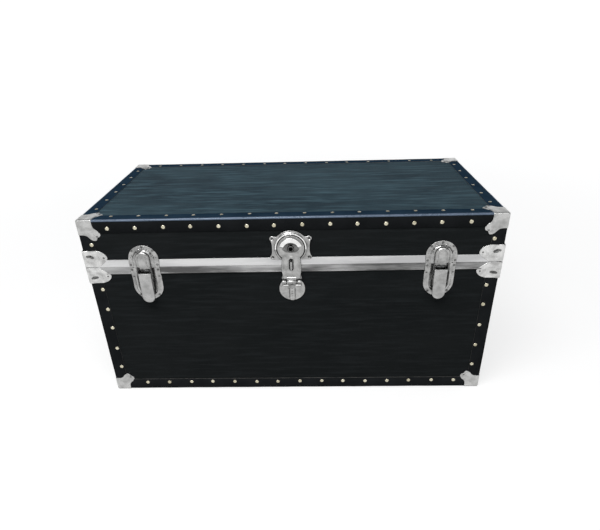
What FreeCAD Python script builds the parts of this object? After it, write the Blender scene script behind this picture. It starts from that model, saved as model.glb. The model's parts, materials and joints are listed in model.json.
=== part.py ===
import FreeCAD, Part
import math
import os
import types
import Sketcher

# A storage trunk: a covered plywood box with metal rails round its mouth, corner caps, mouth clamps,
# two draw-bolts, a hasp lock, end handles, back hinges and a folding lid stay.
# Frame: +Z up, floor at zero, front towards -Y, origin under the middle of the box.

# Driving sizes in mm, angles in degrees.
SIZES = {
    # box, measured over the covered panels
    "box_length": 909,
    "box_depth": 452,
    "box_height": 452,
    "panel": 8,
    "lining": 0.6,
    "lid_height": 108.6,
    "parting_gap": 0.4,
    "overrun": 5,
    # edge bindings
    "binding": 1.5,
    "binding_leg": 28,
    "binding_bevel": 2,
    # rails round the mouth, with a tongue on the body and a groove in the lid
    "rail_leg": 17,
    "rail_edge": 1.6,
    "rail_ridge": 3.2,
    "rail_wall": 1.2,
    "rail_web": 1.6,
    "rail_block": 5.6,
    "body_rail_skirt": 12,
    "lid_rail_skirt": 14,
    "rail_bead": 0.8,
    "rail_bead_height": 2.5,
    "tongue_width": 2.4,
    "tongue_height": 3.2,
    "tongue_room": 0.6,
    # corner caps
    "cap": 2.6,
    "cap_leg": 33.5,
    "cap_step": 9,
    "cap_lobe": 35,
    "cap_lobe_radius": 13,
    "cap_bevel": 2,
    # mouth clamps
    "clamp": 4.6,
    "clamp_height": 40,
    "clamp_flat": 28,
    "clamp_radius": 22,
    "clamp_root": 27,
    "clamp_tip_angle": 20,
    "clamp_bevel": 3,
    # draw-bolt plates
    "drawbolt_inset": 129.5,
    "plate": 4.6,
    "plate_root": 0.6,
    "plate_bevel": 2.4,
    "keeper_radius": 34,
    "keeper_rise": 17,
    "keeper_boss": 8.2,
    "keeper_boss_width": 34,
    "keeper_boss_rise": 46,
    "base_radius": 33.5,
    "base_drop": 49,
    # draw-bolt lever on its pin
    "lever_width": 28,
    "lever_sheet": 1.4,
    "lever_front": 17.6,
    "lever_back": 6.6,
    "lever_pin_drop": 15,
    "lever_pin_out": 12.2,
    "lever_top": 4,
    "lever_reach": 69,
    "lever_wall_reach": 45,
    "lever_bevel": 1,
    "lever_ear": 1.6,
    "lever_ear_radius": 2.9,
    "ear_room": 0.4,
    "pin_radius": 2,
    "pin_room": 0.08,
    # draw-bolt claw on its pin in the lever
    "claw_pin_drop": 8,
    "claw_pin_in": 2.5,
    "claw_room": 0.4,
    "claw_sheet": 1.4,
    "claw_face": 2.4,
    "claw_front": 15.2,
    "claw_back": 5.4,
    "claw_relief": 8.8,
    "claw_rise": 39,
    "claw_window": 4,
    "claw_foot": 5,
    "claw_bevel": 2.6,
    # lock plate on the lid
    "lock_centre": 41,
    "lock_plate": 3.4,
    "lock_width": 84,
    "lock_low": 12,
    "lock_ear_radius": 6.5,
    "lock_ear_out": 39.5,
    "lock_ear_low": 18.5,
    "lock_ear_high": 61.5,
    "lock_dome_radius": 36,
    "lock_dome": 6,
    "lock_ridge": 9,
    "lock_ridge_inner": 30.6,
    # hasp, its pin and its base on the body
    "hasp_back": 6.4,
    "hasp_sheet": 1.8,
    "hasp_head_radius": 29.5,
    "hasp_neck_width": 39.5,
    "hasp_belly_width": 44,
    "hasp_belly_drop": 4,
    "hasp_end_width": 38.7,
    "hasp_end_drop": 25,
    "hasp_dome_radius": 27,
    "hasp_dome_top": 20,
    "hasp_dome": 11.8,
    "slot_width": 7.5,
    "slot_rise": 16,
    "slot_drop": 11,
    "hasp_pin_drop": 40,
    "hasp_pin_out": 7.2,
    "hasp_pin_radius": 1.8,
    "hasp_knuckle": 4.2,
    "hasp_knuckle_width": 21.2,
    "hasp_barrel_width": 44,
    "knuckle_room": 0.4,
    "disc_radius": 29.5,
    "disc_drop": 60.5,
    "disc": 2.4,
    "disc_strip": 3.8,
    "disc_strip_width": 11,
    "disc_strip_height": 34,
    "disc_boss_radius": 4.5,
    # padlock staple
    "tab_width": 18,
    "tab_back": 3.5,
    "tab_sheet": 1.4,
    "tab_root": 4,
    "staple_width": 3.2,
    "staple_front": 16.2,
    "staple_rise": 12,
    "staple_drop": 8,
    "staple_eye_out": 11.6,
    "staple_eye_radius": 2.9,
    "staple_room": 1.5,
    # key plug in the hasp's head
    "plug_radius": 6.5,
    "plug_room": 0.05,
    "plug_back": 6.8,
    "plug_front": 12.6,
    "keyway_width": 2.2,
    "keyway_height": 8,
    "keyway_depth": 3,
    # back hinges
    "hinge_inset": 174.5,
    "hinge_width": 60,
    "hinge_leaf": 42,
    "hinge_sheet": 1.6,
    "hinge_knuckle": 4.2,
    "hinge_gap": 0.3,
    "hinge_room": 0.4,
    "hinge_pin_radius": 2.2,
    # end handles
    "handle_drop": 110,
    "handle_plate": 2.2,
    "handle_plate_length": 128,
    "handle_plate_height": 40,
    "handle_plate_bevel": 10,
    "handle_pin_out": 12,
    "lug_radius": 7.5,
    "lug_width": 9,
    "bail_width": 88,
    "bail_drop": 46,
    "bail_bar": 8,
    "bail_bend": 12,
    "journal_radius": 3.6,
    "journal_room": 0.1,
    "grip_width": 16,
    "grip_length": 60,
    "grip_bevel": 4,
    # folding lid stay at the right end
    "stay_arm": 150,
    "stay_drop_angle": 45,
    "stay_rise_angle": 20,
    "stay_width": 14,
    "stay_sheet": 2,
    "stay_gap": 0.5,
    "stay_stud_radius": 3,
    "stay_stud_room": 0.08,
    "stay_stud_proud": 1.2,
    "bracket_length": 36,
    "bracket_height": 26,
}

HINGE_KNUCKLE_COUNT = 3

AXES = {"x": FreeCAD.Vector(1, 0, 0), "y": FreeCAD.Vector(0, 1, 0), "z": FreeCAD.Vector(0, 0, 1)}
TOUCH = 1e-6


class Size:
    """A size kept as a formula on the sheet's cells and as the number that it comes to."""

    def __init__(self, text, value):
        self.text = text
        self.value = value

    def __add__(self, other):
        return Size(f"({self.text} + {other.text})", self.value + other.value)

    def __sub__(self, other):
        return Size(f"({self.text} - {other.text})", self.value - other.value)

    def __mul__(self, other):
        other = as_size(other)
        return Size(f"({self.text} * {other.text})", self.value * other.value)

    def __truediv__(self, other):
        other = as_size(other)
        return Size(f"({self.text} / {other.text})", self.value / other.value)

    def __neg__(self):
        return Size(f"(-{self.text})", -self.value)

    def root(self):
        return Size(f"sqrt({self.text})", math.sqrt(self.value))

    def cos(self):
        return Size(f"cos({self.text})", math.cos(math.radians(self.value)))

    def sin(self):
        return Size(f"sin({self.text})", math.sin(math.radians(self.value)))


def as_size(number):
    return number if isinstance(number, Size) else Size(str(number), number)


ZERO = as_size(0)

doc = FreeCAD.newDocument("Trunk")
sheet = doc.addObject("Spreadsheet::Sheet", "Sizes")
for row, (alias, number) in enumerate(SIZES.items(), start=1):
    sheet.set(f"A{row}", alias)
    sheet.set(f"B{row}", str(number))
    sheet.setAlias(f"B{row}", alias)
doc.recompute()
d = types.SimpleNamespace(**{alias: Size(f"Sizes.{alias}", number) for alias, number in SIZES.items()})

nodes = []


def node(label, piece):
    """Names a finished piece and keeps it for export."""
    piece.Label = label
    nodes.append(piece)
    return piece


def bind(piece, name, size):
    piece.setExpression(name, size.text)


def place(piece, x=ZERO, y=ZERO, z=ZERO):
    for axis, size in (("x", x), ("y", y), ("z", z)):
        bind(piece, f".Placement.Base.{axis}", size)
    return piece


def block(name, low, high):
    """A box between two opposite corners."""
    piece = doc.addObject("Part::Box", name)
    for side, start, end in zip(("Length", "Width", "Height"), low, high):
        bind(piece, side, end - start)
    return place(piece, *low)


def rod(name, axis, radius, start, length):
    """A round rod along an axis from its start point."""
    piece = doc.addObject("Part::Cylinder", name)
    bind(piece, "Radius", radius)
    bind(piece, "Height", length)
    piece.Placement.Rotation = FreeCAD.Rotation(AXES["z"], AXES[axis])
    return place(piece, *start)


def joined(name, pieces):
    piece = doc.addObject("Part::MultiFuse", name)
    piece.Shapes = pieces
    piece.Refine = True
    return piece


def cut(name, base, tools):
    """The base with each tool cut out of it in turn."""
    for number, tool in enumerate(tools):
        piece = doc.addObject("Part::Cut", f"{name}Cut{number}")
        piece.Base = base
        piece.Tool = tool
        base = piece
    return base


def kept_inside(name, base, tool):
    piece = doc.addObject("Part::Common", name)
    piece.Base = base
    piece.Tool = tool
    return piece


def mirrored(name, source, axis, at=ZERO):
    """A mirror image across the plane that the axis crosses at the given place."""
    piece = doc.addObject("Part::Mirroring", name)
    piece.Source = source
    piece.Normal = AXES[axis]
    bind(piece, f"Base.{axis}", at)
    return piece


def group(name, pieces):
    piece = doc.addObject("Part::Compound", name)
    piece.Links = pieces
    return piece


def four_corners(name, source):
    """The piece at one upright edge of the box and its images at the other three."""
    left = mirrored(f"{name}Left", source, "x")
    back = mirrored(f"{name}Back", source, "y")
    back_left = mirrored(f"{name}BackLeft", left, "y")
    return [source, left, back, back_left]


# Outlines are lists of steps. A step is (x, y) for a straight run to that point,
# or (x, y, centre x, centre y, turn) for an arc to it, turn +1 anticlockwise and -1 clockwise.
# An outline is closed: its first step is reached from its last.


def laid(path, origin_x, sign_x, origin_y, sign_y):
    """An outline moved to an origin, with each axis kept or turned round."""
    steps = []
    for step in path:
        points = [origin_x + step[0] * sign_x, origin_y + step[1] * sign_y]
        if len(step) > 2:
            points += [origin_x + step[2] * sign_x, origin_y + step[3] * sign_y, step[4] * sign_x * sign_y]
        steps.append(tuple(points))
    return steps


def point(step):
    return FreeCAD.Vector(step[0].value, step[1].value, 0)


def arc(start, step):
    """The arc to a step's point, and which of its ends come first and last along the outline."""
    centre = FreeCAD.Vector(step[2].value, step[3].value, 0)
    spokes = (point(start) - centre, point(step) - centre)
    angles = [math.atan2(spoke.y, spoke.x) for spoke in spokes]
    circle = Part.Circle(centre, AXES["z"], spokes[0].Length)
    if step[4] > 0:
        return Part.ArcOfCircle(circle, angles[0], angles[1]), (1, 2)
    return Part.ArcOfCircle(circle, angles[1], angles[0]), (2, 1)


def hold(sketch, kind, curve, end, size):
    """Fixes one coordinate of a sketch point to a formula."""
    index = sketch.addConstraint(Sketcher.Constraint(kind, -1, 1, curve, end, size.value))
    bind(sketch, f"Constraints[{index}]", size)


def add_outline(sketch, path):
    first = sketch.GeometryCount
    runs = [(path[i - 1], path[i]) for i in range(len(path))]
    ends = []
    for start, step in runs:
        if len(step) > 2:
            curve, order = arc(start, step)
        else:
            curve, order = Part.LineSegment(point(start), point(step)), (1, 2)
        sketch.addGeometry(curve, False)
        ends.append(order)
    for i, (start, step) in enumerate(runs):
        following = (i + 1) % len(runs)
        joint = (first + i, ends[i][1], first + following, ends[following][0])
        sketch.addConstraint(Sketcher.Constraint("Coincident", *joint))
        hold(sketch, "DistanceX", first + i, ends[i][1], step[0])
        hold(sketch, "DistanceY", first + i, ends[i][1], step[1])
        if len(step) > 2:
            chord = point(step) - point(start)
            if abs(chord.x) > abs(chord.y):
                hold(sketch, "DistanceY", first + i, 3, step[3])
            else:
                hold(sketch, "DistanceX", first + i, 3, step[2])


def add_circle(sketch, x, y, radius):
    circle = Part.Circle(FreeCAD.Vector(x.value, y.value, 0), AXES["z"], radius.value)
    curve = sketch.addGeometry(circle, False)
    hold(sketch, "DistanceX", curve, 3, x)
    hold(sketch, "DistanceY", curve, 3, y)
    index = sketch.addConstraint(Sketcher.Constraint("Radius", curve, radius.value))
    bind(sketch, f"Constraints[{index}]", radius)


def new_sketch(body, plane, name):
    sketch = body.newObject("Sketcher::SketchObject", name)
    face = [feature for feature in body.Origin.OriginFeatures if feature.Role == f"{plane}_Plane"][0]
    sketch.AttachmentSupport = [(face, "")]
    sketch.MapMode = "FlatFace"
    return sketch


def padded(name, plane, path, depth, both_ways=False):
    """A body with one outline padded off a plane: XY goes up, XZ to the front, YZ to the right."""
    body = doc.addObject("PartDesign::Body", name)
    sketch = new_sketch(body, plane, f"{name}Outline")
    add_outline(sketch, path)
    pad = body.newObject("PartDesign::Pad", f"{name}Pad")
    pad.Profile = sketch
    pad.Midplane = both_ways
    bind(pad, "Length", depth)
    doc.recompute()
    return body


def pocketed(body, name, plane, path, depth):
    """A pocket of an outline into the body, on the side to which its pad went."""
    sketch = new_sketch(body, plane, f"{name}Outline")
    add_outline(sketch, path)
    pocket = body.newObject("PartDesign::Pocket", name)
    pocket.Profile = sketch
    pocket.Reversed = True
    bind(pocket, "Length", depth)
    doc.recompute()


def drilled(body, name, plane, spots, radius):
    """Round holes right through the body, square to a plane."""
    sketch = new_sketch(body, plane, f"{name}Outline")
    for x, y in spots:
        add_circle(sketch, x, y, radius)
    pocket = body.newObject("PartDesign::Pocket", name)
    pocket.Profile = sketch
    pocket.Type = "ThroughAll"
    pocket.Midplane = True
    doc.recompute()


def rim_bevelled(body, name, axis, at, size):
    """Bevels every edge that lies in the body's face at the given place along an axis."""
    last = body.Tip
    rim = []
    for number, edge in enumerate(last.Shape.Edges, start=1):
        if all(abs(getattr(vertex.Point, axis) - at.value) < TOUCH for vertex in edge.Vertexes):
            rim.append(f"Edge{number}")
    bevel = body.newObject("PartDesign::Chamfer", name)
    bevel.Base = (last, rim)
    bind(bevel, "Size", size)
    doc.recompute()


def edges_bevelled(name, base, size, chosen):
    """Bevels the straight edges whose ends the test accepts."""
    doc.recompute()
    picks = []
    for number, edge in enumerate(base.Shape.Edges, start=1):
        if all(chosen(vertex.Point) for vertex in edge.Vertexes):
            picks.append((number, size.value, size.value))
    piece = doc.addObject("Part::Chamfer", name)
    piece.Base = base
    piece.Edges = picks
    return piece


# Faces of the box and heights up the trunk.
right = d.box_length / 2
left = -right
back = d.box_depth / 2
front = -back
bottom = d.cap
top = bottom + d.box_height
middle = bottom + d.box_height / 2
mouth = top - d.lid_height
body_lip = mouth - d.parting_gap / 2
lid_lip = mouth + d.parting_gap / 2
body_wall_top = body_lip - d.rail_web
lid_wall_low = lid_lip + d.rail_block
drawbolt_x = right - d.drawbolt_inset


def ahead(out):
    """How far along Y a place is that stands out from the front by the given size."""
    return front - out


# Plywood panels. Bottom and top sheets close the four walls.
def walls(name, low, high):
    inner_left = left + d.panel
    inner_right = right - d.panel
    inner_front = front + d.panel
    inner_back = back - d.panel
    spans = {
        "front": (left, front, right, inner_front),
        "back": (left, inner_back, right, back),
        "left": (left, inner_front, inner_left, inner_back),
        "right": (inner_right, inner_front, right, inner_back),
    }
    for side, (x_low, y_low, x_high, y_high) in spans.items():
        wall = block(f"{name}_{side}", (x_low, y_low, low), (x_high, y_high, high))
        node(f"{name}_{side}_panel", wall)


def lining(name, low, high, room_low, room_high):
    """Paper-thin lining: a box less the room inside it."""
    gap = d.panel
    skin = d.panel + d.lining
    outer = block(f"{name}Outer", (left + gap, front + gap, low), (right - gap, back - gap, high))
    room_start = (left + skin, front + skin, room_low)
    room_end = (right - skin, back - skin, room_high)
    return cut(name, outer, [block(f"{name}Room", room_start, room_end)])


node("base_panel", block("Base", (left, front, bottom), (right, back, bottom + d.panel)))
walls("body", bottom + d.panel, body_wall_top)
body_floor = bottom + d.panel
lining_top = body_lip - d.body_rail_skirt
body_lining = lining("BodyLining", body_floor, lining_top, body_floor + d.lining, lining_top + d.overrun)
node("body_lining", body_lining)

node("lid_top_panel", block("LidTop", (left, front, top - d.panel), (right, back, top)))
walls("lid", lid_wall_low, top - d.panel)
lid_ceiling = top - d.panel
lining_low = lid_lip + d.lid_rail_skirt
lid_lining = lining("LidLining", lining_low, lid_ceiling, lining_low - d.overrun, lid_ceiling - d.lining)
node("lid_lining", lid_lining)

# Rails. A profile gives distance out from the wall's face and height from the rail's own lip.
tongue_middle = -d.panel / 2
tongue_half = d.tongue_width / 2
groove_half = tongue_half + d.tongue_room
rail_inside = -d.panel - d.rail_wall
bead_top = -d.rail_leg + d.rail_bead_height
body_rail_profile = [
    (d.rail_edge + d.rail_bead, -d.rail_leg),
    (d.rail_edge + d.rail_bead, bead_top),
    (d.rail_edge, bead_top),
    (d.rail_ridge, ZERO),
    (tongue_middle + tongue_half, ZERO),
    (tongue_middle + tongue_half, d.tongue_height),
    (tongue_middle - tongue_half, d.tongue_height),
    (tongue_middle - tongue_half, ZERO),
    (rail_inside, ZERO),
    (rail_inside, -d.body_rail_skirt),
    (-d.panel, -d.body_rail_skirt),
    (-d.panel, -d.rail_web),
    (ZERO, -d.rail_web),
    (ZERO, -d.rail_leg),
]
groove_depth = d.tongue_height + d.tongue_room
lid_rail_profile = [
    (d.rail_ridge, ZERO),
    (d.rail_edge, d.rail_leg),
    (ZERO, d.rail_leg),
    (ZERO, d.rail_block),
    (-d.panel, d.rail_block),
    (-d.panel, d.lid_rail_skirt),
    (rail_inside, d.lid_rail_skirt),
    (rail_inside, ZERO),
    (tongue_middle - groove_half, ZERO),
    (tongue_middle - groove_half, groove_depth),
    (tongue_middle + groove_half, groove_depth),
    (tongue_middle + groove_half, ZERO),
]


def rails(name, profile, lip):
    """Four rails with mitred ends, and the front, right and back ones for other pieces to fit round."""
    low = lip - d.rail_leg - d.overrun
    high = lip + d.rail_leg + d.overrun
    out = d.rail_ridge + d.overrun
    inward = d.panel + d.rail_wall + d.overrun
    long_side = padded(f"{name}Long", "YZ", laid(profile, front, -1, lip, 1), d.box_length + out * 2, True)
    short_side = padded(f"{name}Short", "XZ", laid(profile, right, 1, lip, 1), d.box_depth + out * 2, True)
    long_plan = [
        (left - out, front - out),
        (right + out, front - out),
        (right - inward, front + inward),
        (left + inward, front + inward),
    ]
    short_plan = [
        (right + out, front - out),
        (right + out, back + out),
        (right - inward, back - inward),
        (right - inward, front + inward),
    ]
    long_mitre = place(padded(f"{name}LongMitre", "XY", long_plan, high - low), z=low)
    short_mitre = place(padded(f"{name}ShortMitre", "XY", short_plan, high - low), z=low)
    front_rail = kept_inside(f"{name}Front", long_side, long_mitre)
    right_rail = kept_inside(f"{name}Right", short_side, short_mitre)
    back_rail = mirrored(f"{name}Back", front_rail, "y")
    node(f"{name}_rail_front", front_rail)
    node(f"{name}_rail_back", back_rail)
    node(f"{name}_rail_left", mirrored(f"{name}Left", right_rail, "x"))
    node(f"{name}_rail_right", right_rail)
    return front_rail, right_rail, back_rail


body_rails = rails("body", body_rail_profile, body_lip)
lid_rails = rails("lid", lid_rail_profile, lid_lip)

# Edge bindings: an angle with a bevelled outer edge, drawn from the edge of the box inwards.
bevel_in = d.binding_bevel - d.binding
binding_profile = [
    (d.binding_leg, ZERO),
    (d.binding_leg, -d.binding),
    (bevel_in, -d.binding),
    (-d.binding, bevel_in),
    (-d.binding, d.binding_leg),
    (ZERO, d.binding_leg),
    (ZERO, ZERO),
]
front_binding = padded("FrontBinding", "YZ", laid(binding_profile, front, 1, top, -1), d.box_length, True)
back_binding = mirrored("BackBinding", front_binding, "y")
end_run = padded("EndRun", "XZ", laid(binding_profile, right, -1, top, -1), d.box_depth, True)
strip_end = (right, front + d.binding_leg, top + d.overrun)
front_strip = block("FrontStrip", (left, front - d.overrun, top), strip_end)
right_binding = cut("RightBinding", end_run, [front_strip, mirrored("BackStrip", front_strip, "y")])
left_binding = mirrored("LeftBinding", right_binding, "x")
lid_edges = [front_binding, back_binding, left_binding, right_binding]
base_edges = [mirrored(f"Base{edge.Name}", edge, "z", middle) for edge in lid_edges]
node("lid_edge_bindings", group("LidEdges", lid_edges))
node("base_edge_bindings", group("BaseEdges", base_edges))


def upright_binding(name, low, high):
    return place(padded(name, "XY", laid(binding_profile, right, -1, front, 1), high - low), z=low)


lid_upright = upright_binding("LidUpright", lid_lip + d.rail_leg, top - d.binding_leg)
body_upright = upright_binding("BodyUpright", bottom + d.binding_leg, body_lip - d.rail_leg)
node("lid_corner_bindings", group("LidUprights", four_corners("LidUpright", lid_upright)))
node("body_corner_bindings", group("BodyUprights", four_corners("BodyUpright", body_upright)))

# Corner caps. On each face two legs along the edges, and a round-ended lobe between two notches.
lobe_side = d.cap_lobe_radius / as_size(2).root()
lobe_near = d.cap_lobe + lobe_side
lobe_far = d.cap_lobe - lobe_side
cap_outline = [
    (-d.cap, -d.cap),
    (d.cap_leg, -d.cap),
    (d.cap_leg, d.cap_step),
    (lobe_near, lobe_far),
    (lobe_far, lobe_near, d.cap_lobe, d.cap_lobe, 1),
    (d.cap_step, d.cap_leg),
    (-d.cap, d.cap_leg),
]
cap_faces = [
    place(padded("CapFront", "XZ", laid(cap_outline, right, -1, top, -1), d.cap), y=front),
    place(padded("CapEnd", "YZ", laid(cap_outline, front, 1, top, -1), d.cap), x=right),
    place(padded("CapTop", "XY", laid(cap_outline, right, -1, front, 1), d.cap), z=top),
]
cap_blank = joined("CapBlank", cap_faces)


def on_cap_corner(spot):
    """True on the three outer edges of the cap, where two of its outer faces meet."""
    outer = (right + d.cap, front - d.cap, top + d.cap)
    return sum(abs(place_on - limit.value) < TOUCH for place_on, limit in zip(spot, outer)) >= 2


cap_bevelled = edges_bevelled("CapBevelled", cap_blank, d.cap_bevel, on_cap_corner)
lid_cap = cut("LidCap", cap_bevelled, [front_binding, right_binding, lid_upright])
base_cap_blank = mirrored("BaseCapBlank", cap_bevelled, "z", middle)
base_cap = cut("BaseCap", base_cap_blank, [base_edges[0], base_edges[3], body_upright])
node("lid_corner_caps", group("LidCaps", four_corners("LidCap", lid_cap)))
node("body_corner_caps", group("BaseCaps", four_corners("BaseCap", base_cap)))

# Mouth clamps: a leaf on each side of the upright edge, above and below the parting line.
leaf_middle = d.clamp_height - d.clamp_radius
clamp_outline = [
    (-d.clamp, d.parting_gap / 2),
    (d.clamp_root, d.parting_gap / 2),
    (
        d.clamp_flat + d.clamp_radius * d.clamp_tip_angle.cos(),
        leaf_middle - d.clamp_radius * d.clamp_tip_angle.sin(),
    ),
    (d.clamp_flat, d.clamp_height, d.clamp_flat, leaf_middle, 1),
    (-d.clamp, d.clamp_height),
]
clamp_faces = [
    place(padded("ClampFront", "XZ", laid(clamp_outline, right, -1, mouth, 1), d.clamp), y=front),
    place(padded("ClampEnd", "YZ", laid(clamp_outline, front, 1, mouth, 1), d.clamp), x=right),
]


def on_clamp_corner(spot):
    return abs(spot.x - (right + d.clamp).value) < TOUCH and abs(spot.y - (front - d.clamp).value) < TOUCH


clamp_blank = edges_bevelled("ClampBlank", joined("ClampLeaves", clamp_faces), d.clamp_bevel, on_clamp_corner)
low_clamp_blank = mirrored("LowClampBlank", clamp_blank, "z", mouth)
lid_clamp = cut("LidClamp", clamp_blank, [lid_rails[0], lid_rails[1], lid_upright])
body_clamp = cut("BodyClamp", low_clamp_blank, [body_rails[0], body_rails[1], body_upright])
node("lid_corner_clamps", group("LidClamps", four_corners("LidClamp", lid_clamp)))
node("body_corner_clamps", group("BodyClamps", four_corners("BodyClamp", body_clamp)))

# Draw-bolt keepers on the lid: a stamped plate with a boss that the claw closes over.
keeper_outline = [
    (-d.keeper_radius, lid_lip),
    (d.keeper_radius, lid_lip),
    (d.keeper_radius, mouth + d.keeper_rise),
    (-d.keeper_radius, mouth + d.keeper_rise, ZERO, mouth + d.keeper_rise, 1),
]
boss_half = d.keeper_boss_width / 2
boss_shoulder = mouth + d.keeper_boss_rise - boss_half
boss_outline = [
    (-boss_half, lid_lip + d.rail_leg),
    (boss_half, lid_lip + d.rail_leg),
    (boss_half, boss_shoulder),
    (-boss_half, boss_shoulder, ZERO, boss_shoulder, 1),
]
boss_depth = d.keeper_boss - d.plate + d.plate_root
plate_seat = ahead(d.plate - d.plate_root)
keeper_plate = place(padded("KeeperPlate", "XZ", keeper_outline, d.plate), x=drawbolt_x, y=front)
rim_bevelled(keeper_plate, "KeeperRim", "y", -d.plate, d.plate_bevel)
keeper_boss = place(padded("KeeperBoss", "XZ", boss_outline, boss_depth), x=drawbolt_x, y=plate_seat)
rim_bevelled(keeper_boss, "KeeperBossRim", "y", -boss_depth, d.plate_bevel)
keeper = joined("Keeper", [cut("KeeperSeat", keeper_plate, [lid_rails[0]]), keeper_boss])
node("drawbolt_keepers", group("Keepers", [keeper, mirrored("LeftKeeper", keeper, "x")]))

# Draw-bolt bases on the body: a stamped plate with two ears for the lever's pin.
base_middle = mouth - d.base_drop
base_outline = [
    (d.base_radius, body_lip),
    (-d.base_radius, body_lip),
    (-d.base_radius, base_middle),
    (d.base_radius, base_middle, ZERO, base_middle, 1),
]
base_plate = place(padded("BasePlate", "XZ", base_outline, d.plate), x=drawbolt_x, y=front)
rim_bevelled(base_plate, "BasePlateRim", "y", -d.plate, d.plate_bevel)
pin_height = mouth - d.lever_pin_drop
pin_y = ahead(d.lever_pin_out)
lever_half = d.lever_width / 2
lever_inner = lever_half - d.lever_sheet
ear_outer = lever_inner - d.ear_room
ear_outline = [
    (plate_seat, pin_height - d.lever_ear_radius),
    (plate_seat, pin_height + d.lever_ear_radius),
    (pin_y, pin_height + d.lever_ear_radius),
    (pin_y, pin_height - d.lever_ear_radius, pin_y, pin_height, 1),
]
ear = place(padded("Ear", "YZ", ear_outline, d.lever_ear), x=drawbolt_x + ear_outer - d.lever_ear)
drilled(ear, "EarHole", "YZ", [(pin_y, pin_height)], d.pin_radius + d.pin_room)
ear_pair = [ear, mirrored("EarLeft", ear, "x", drawbolt_x)]
drawbolt_base = joined("DrawboltBase", [cut("BaseSeat", base_plate, [body_rails[0]])] + ear_pair)
drawbolt_pair = [drawbolt_base, mirrored("LeftDrawboltBase", drawbolt_base, "x")]
node("drawbolt_bases", group("DrawboltBases", drawbolt_pair))

# Draw-bolt lever: a folded channel, open below its walls, where only the thumb end is left.
# Its pin is staked between the walls and turns in the ears.
lever_top = pin_height + d.lever_top
lever_shoulder = pin_height - d.lever_reach + lever_half
lever_wall_low = pin_height - d.lever_wall_reach
lever_depth = d.lever_front - d.lever_back
lever_outline = [
    (lever_half, lever_top),
    (-lever_half, lever_top),
    (-lever_half, lever_shoulder),
    (lever_half, lever_shoulder, ZERO, lever_shoulder, 1),
]
lever_wide = lever_half + d.overrun
lever_low = pin_height - d.lever_reach - d.overrun
lever_room = [
    (lever_inner, lever_top + d.overrun),
    (-lever_inner, lever_top + d.overrun),
    (-lever_inner, lever_wall_low),
    (-lever_wide, lever_wall_low),
    (-lever_wide, lever_low),
    (lever_wide, lever_low),
    (lever_wide, lever_wall_low),
    (lever_inner, lever_wall_low),
]
claw_pin_height = pin_height - d.claw_pin_drop
claw_pin_y = ahead(d.lever_pin_out - d.claw_pin_in)
right_lever = padded("Lever", "XZ", lever_outline, lever_depth)
place(right_lever, x=drawbolt_x, y=ahead(d.lever_back))
rim_bevelled(right_lever, "LeverRim", "y", -lever_depth, d.lever_bevel)
pocketed(right_lever, "LeverChannel", "XZ", lever_room, lever_depth - d.lever_sheet)
lever_spots = [(claw_pin_y - ahead(d.lever_back), claw_pin_height)]
drilled(right_lever, "LeverHoles", "YZ", lever_spots, d.pin_radius + d.pin_room)
node("right_drawbolt_lever", right_lever)
node("left_drawbolt_lever", mirrored("LeftLever", right_lever, "x"))
lever_pin_start = (drawbolt_x - lever_inner, pin_y, pin_height)
right_lever_pin = rod("LeverPin", "x", d.pin_radius, lever_pin_start, lever_inner * 2)
node("right_lever_pin", right_lever_pin)
node("left_lever_pin", mirrored("LeftLeverPin", right_lever_pin, "x"))

# Draw-bolt claw: a hood with two cheeks beside the lever and a face over the keeper's boss.
# Its pin is staked between the cheeks and turns in the lever's walls.
claw_inner = lever_half + d.claw_room
claw_half = claw_inner + d.claw_sheet
claw_low = claw_pin_height - d.claw_foot
claw_shoulder = mouth + d.claw_rise - claw_half
claw_depth = d.claw_front - d.claw_back
claw_outline = [
    (-claw_half, claw_low),
    (claw_half, claw_low),
    (claw_half, claw_shoulder),
    (-claw_half, claw_shoulder, ZERO, claw_shoulder, 1),
]
claw_room = [
    (-claw_inner, claw_low - d.overrun),
    (claw_inner, claw_low - d.overrun),
    (claw_inner, claw_shoulder),
    (-claw_inner, claw_shoulder),
]
claw_window = [
    (-claw_inner, claw_low - d.overrun),
    (claw_inner, claw_low - d.overrun),
    (claw_inner, mouth + d.claw_window),
    (-claw_inner, mouth + d.claw_window),
]
claw_wide = claw_half + d.overrun
claw_relief = [
    (-claw_wide, body_lip),
    (claw_wide, body_lip),
    (claw_wide, mouth + d.claw_rise + d.overrun),
    (-claw_wide, mouth + d.claw_rise + d.overrun),
]
right_claw = place(padded("Claw", "XZ", claw_outline, claw_depth), x=drawbolt_x, y=ahead(d.claw_back))
rim_bevelled(right_claw, "ClawRim", "y", -claw_depth, d.claw_bevel)
pocketed(right_claw, "ClawHollow", "XZ", claw_room, claw_depth - d.claw_face)
pocketed(right_claw, "ClawWindow", "XZ", claw_window, claw_depth + d.overrun)
pocketed(right_claw, "ClawRelief", "XZ", claw_relief, d.claw_relief - d.claw_back)
node("right_drawbolt_claw", right_claw)
node("left_drawbolt_claw", mirrored("LeftClaw", right_claw, "x"))
claw_pin_start = (drawbolt_x - claw_inner, claw_pin_y, claw_pin_height)
right_claw_pin = rod("ClawPin", "x", d.pin_radius, claw_pin_start, claw_inner * 2)
node("right_claw_pin", right_claw_pin)
node("left_claw_pin", mirrored("LeftClawPin", right_claw_pin, "x"))

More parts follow.
